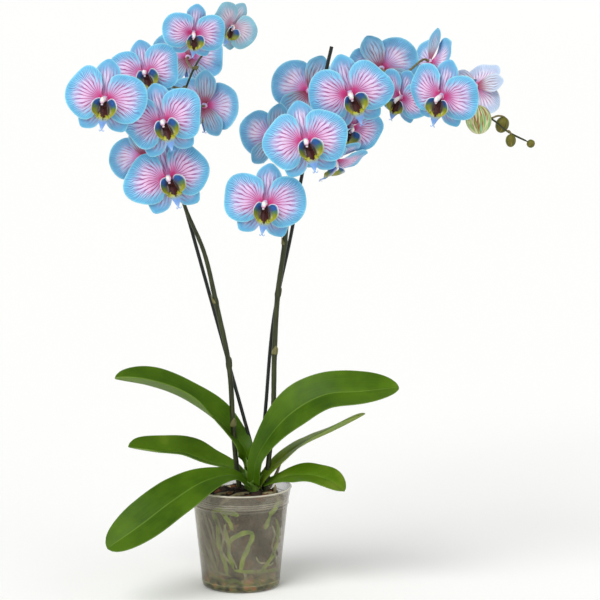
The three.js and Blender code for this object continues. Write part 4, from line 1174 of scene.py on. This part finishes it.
# Roots pressed against the wall: radius, then angle and height along each one.
wallRoots = [
    (2.7, [(-105, 58), (-101, 66), (-93, 70), (-86, 73), (-79, 74), (-73, 72), (-72, 66), (-76, 59),
           (-80, 51), (-84, 45), (-86, 40), (-88, 31), (-90, 24)]),
    (3.1, [(-128, 97), (-120, 100), (-110, 99), (-100, 97), (-92, 94)]),
    (2.5, [(-116, 99), (-112, 95), (-107, 90), (-103, 84), (-100, 77)]),
    (2.6, [(-130, 98), (-126, 92), (-122, 80), (-123, 69), (-121, 57), (-117, 44), (-113, 31), (-110, 20)]),
    (2.2, [(-100, 27), (-84, 26), (-65, 25), (-44, 23), (-20, 21), (-2, 17), (20, 14)]),
    (2.6, [(-22, 106), (-30, 102), (-38, 98), (-45, 92), (-49, 84), (-54, 76)]),
    (2.2, [(-30, 84), (-25, 72), (-20, 60), (-22, 50), (-34, 40), (-48, 29), (-58, 20)]),
    (2.4, [(-148, 18), (-138, 16), (-125, 14), (-111, 13), (-99, 15), (-88, 11), (-74, 10)]),
    (2.0, [(-83, 26), (-81, 18), (-83, 10), (-90, 6)]),
    (1.8, [(-136, 8), (-124, 6), (-112, 6)]),
    (1.7, [(-165, 76), (-154, 67), (-146, 56), (-140, 45), (-133, 34), (-128, 22)]),
    (2.2, [(-112, 82), (-110, 72), (-106, 60), (-107, 48), (-103, 38), (-100, 29)]),
    (2.3, [(62, 100), (66, 84), (74, 66), (78, 48), (84, 30), (96, 20)]),
    (2.5, [(120, 102), (126, 84), (120, 66), (128, 46), (140, 30), (156, 22)]),
    (2.2, [(176, 98), (184, 80), (178, 60), (190, 44), (204, 36), (214, 20)]),
    (2.1, [(20, 96), (30, 78), (24, 60), (36, 46), (48, 34), (66, 30), (84, 34)]),
    (2.0, [(150, 70), (162, 62), (170, 50), (160, 38), (148, 26), (130, 20), (110, 22)]),
    (1.4, [(-150, 96), (-142, 84), (-139, 70), (-132, 58), (-130, 46), (-124, 36)]),
    (1.2, [(-138, 88), (-131, 76), (-128, 62), (-131, 50), (-126, 40), (-127, 30)]),
    (1.3, [(-122, 90), (-117, 78), (-114, 66), (-117, 52), (-111, 42), (-104, 34)]),
    (1.1, [(-109, 84), (-112, 70), (-108, 58), (-103, 46), (-99, 38), (-95, 30)]),
    (1.5, [(-152, 60), (-146, 48), (-143, 36), (-135, 26), (-120, 22), (-104, 20)]),
    (1.2, [(-40, 78), (-34, 66), (-36, 52), (-30, 42), (-20, 34), (-12, 26)]),
    (1.1, [(-66, 44), (-60, 36), (-50, 34), (-40, 30), (-30, 32)]),
    (1.6, [(-126, 12), (-112, 8), (-96, 9), (-84, 14), (-72, 12), (-60, 7)]),
    (1.2, [(-60, 16), (-48, 12), (-36, 14), (-22, 10), (-8, 12)]),
]
# Roots over the bark, and the short aerial roots beside the right-hand leaves: radii and points.
openRoots = [
    (2.5, 1.6, [(15, 1, 106), (33, 15, 113), (41, 14, 128), (46, 13, 142), (48, 12, 153)]),
    (2.7, 2.2, [(15, 1, 108), (2, -20, 113), (-12, -36, 112), (-24, -43, 104)]),
    (2.6, 1.7, [(15, 1, 107), (34, -16, 113), (40, -31, 117), (41, -36, 128)]),
    (2.6, 2.2, [(15, 1, 106), (-6, -12, 112), (-26, -22, 112), (-40, -24, 106), (-45, -26, 97)]),
    (2.6, 2.2, [(15, 1, 106), (32, -12, 110), (44, -20, 108), (49, -23, 100)]),
    (2.5, 2.2, [(15, 1, 106), (24, 22, 111), (26, 40, 108), (25, 47, 100)]),
    (2.5, 2.2, [(15, 1, 106), (-8, 18, 111), (-24, 36, 108), (-26, 45, 101)]),
]
rootSet = {
    "clear": 0.5, "sunk": 0.9, "fineSunk": 0.6, "knots": 0.09,
    "thick": 2.05, "stout": 2.3,  # radii above which a root is green, and lies nearer to the wall
}


def rootSkin(name, dark, mid, light):
    # velamen: a silver sleeve that turns green where it is wet, over 13 mm or so, and is spongy,
    # with a grain drawn coarse at 1.2 mm to show
    material, shader, add = newMaterial(name, roughness=0.6, subsurface=0.1, scatter=0.001, specular=0.3)
    here = add("TexCoord").outputs["Object"]
    wet = add("TexNoise", {"Vector": here, "Scale": 75.0, "Detail": 4.0})
    sponge = add("TexNoise", {"Vector": here, "Scale": 800.0, "Detail": 3.0})
    setInputs(shader, {
        "Base Color": add("ValToRGB", [wet], [(0.32, dark), (0.5, mid), (0.68, light)]),
        "Normal": add("Bump", {"Strength": 0.4, "Distance": 0.0004, "Height": sponge})})
    return material


def atWall(radius, angle, z, sunk=0.0):
    reach = innerAt(z) - radius - rootSet["clear"] - sunk
    return np.stack([reach * np.cos(angle), reach * np.sin(angle), z], -1)


def makeRoots():
    root, t = rootSet, np.linspace(0, 1, 70)
    fine, thick = [], []
    for radius, route in wallRoots:
        angles, heights = np.array(route, float).T
        way = smoothPath(atWall(radius, np.radians(angles), heights), 70)
        sunk = root["sunk"] * (1 + np.sin(t * 13 + route[0][1]))  # it comes and goes along the root
        sunk = sunk + (0 if radius > root["stout"] else root["fineSunk"])
        way = atWall(radius, np.arctan2(way[:, 1], way[:, 0]), way[:, 2], sunk)
        taper = radius * np.minimum(1, 0.25 + 6 * np.minimum(t, 1 - t)) ** 0.6
        knots = 1 + root["knots"] * np.sin(t * 31 + radius * 9)
        (thick if radius > root["thick"] else fine).append((way, taper * knots))
    wetSkin = rootSkin("wetVelamenGreen", "#4c6c08", "#80a414", "#aebf48")
    tubes("roots_at_wall", thick, wetSkin, "root", "roots", spacing=1.5, wobble=1.1, grain=150.0)
    paleSkin = rootSkin("paleVelamen", "#6d7a44", "#98a070", "#b9b99a")
    tubes("fine_roots_at_wall", fine, paleSkin, "root", "roots", spacing=1.3, sides=10, wobble=0.7,
          grain=220.0)
    over, t = [], np.linspace(0, 1, 60)
    for start, end, route in openRoots:
        radii = mix(start, end, t) * (1 + 0.06 * np.sin(t * 17 + start * 9))
        over.append(roundedEnd(smoothPath(route, 60), radii, 5))
    drySkin = rootSkin("dryVelamenSilver", "#4f4a30", "#7a7050", "#938a68")
    tubes("roots_over_bark", over, drySkin, "root", "roots", spacing=1.6, sides=14, wobble=0.8, grain=140.0)


makeRoots()
print("roots made")

crownSet = {
    "x": 15.0, "y": 1.0, "bottom": 112.0, "top": 152.0, "footRadius": 8.0, "topRadius": 5.0, "foot": 97.0,
    "rootstockRadius": 7.0, "sheaths": [  # foot height, height, radius, and the side its leaf leaves on
        (111, 17, 9.6, 190), (114, 20, 9.0, -12), (119, 22, 8.2, 170), (125, 22, 7.5, 10),
        (132, 20, 6.8, 185), (139, 16, 6.0, -5)],
}


def addSheath(body, foot, height, radius, azimuth):
    # the clasping foot of a leaf: a collar, highest on the side of its leaf
    u, v = np.meshgrid(np.linspace(-1, 1, 25), np.linspace(0, 1, 14))
    angle = np.radians(azimuth) + u * 2.05
    reach = radius * (1 + 0.3 * v ** 2 * (1 - 0.6 * np.abs(u)))
    z = foot + v * height * (1 - 0.6 * np.abs(u) ** 1.4)
    middle = np.stack([crownSet["x"] + reach * np.cos(angle), crownSet["y"] + reach * np.sin(angle), z], -1)
    addShell(body, middle, 1.3, np.stack([u, v], -1))


def makeCrown():
    crown = crownSet
    upright = lambda z: np.stack([np.full(len(z), crown["x"]), np.full(len(z), crown["y"]), z], 1)
    collars = []
    for sheath in crown["sheaths"]:
        addSheath(collars, *sheath)
    place("crown_collars", meshOf(collars, [crownSkin]), "leaf", "crown")
    z = np.linspace(crown["bottom"], crown["top"] + 0.2, 40)
    t = (z - crown["bottom"]) / (crown["top"] - crown["bottom"])
    radii = mix(crown["footRadius"], crown["topRadius"], t) * (1 - 0.06 * (t * 5 % 1))
    radii[-4:] *= [0.97, 0.88, 0.7, 0.4]
    tubes("crown_sheaths", [(upright(z), radii)], crownSkin, "leaf", "crown", spacing=1.0, sides=24,
          wobble=0.5, grain=90.0)
    z = np.linspace(crown["foot"], crown["bottom"] - 0.3, 16)
    stock = upright(z), np.full(16, crown["rootstockRadius"])
    woodSkin = rootSkin("woodyRootstock", "#4a3a26", "#6a5638", "#8a7a54")
    tubes("rootstock_wood", [stock], woodSkin, "root", "roots", spacing=1.5, sides=20, wobble=1.2,
          grain=120.0)


makeCrown()
print("crown made")
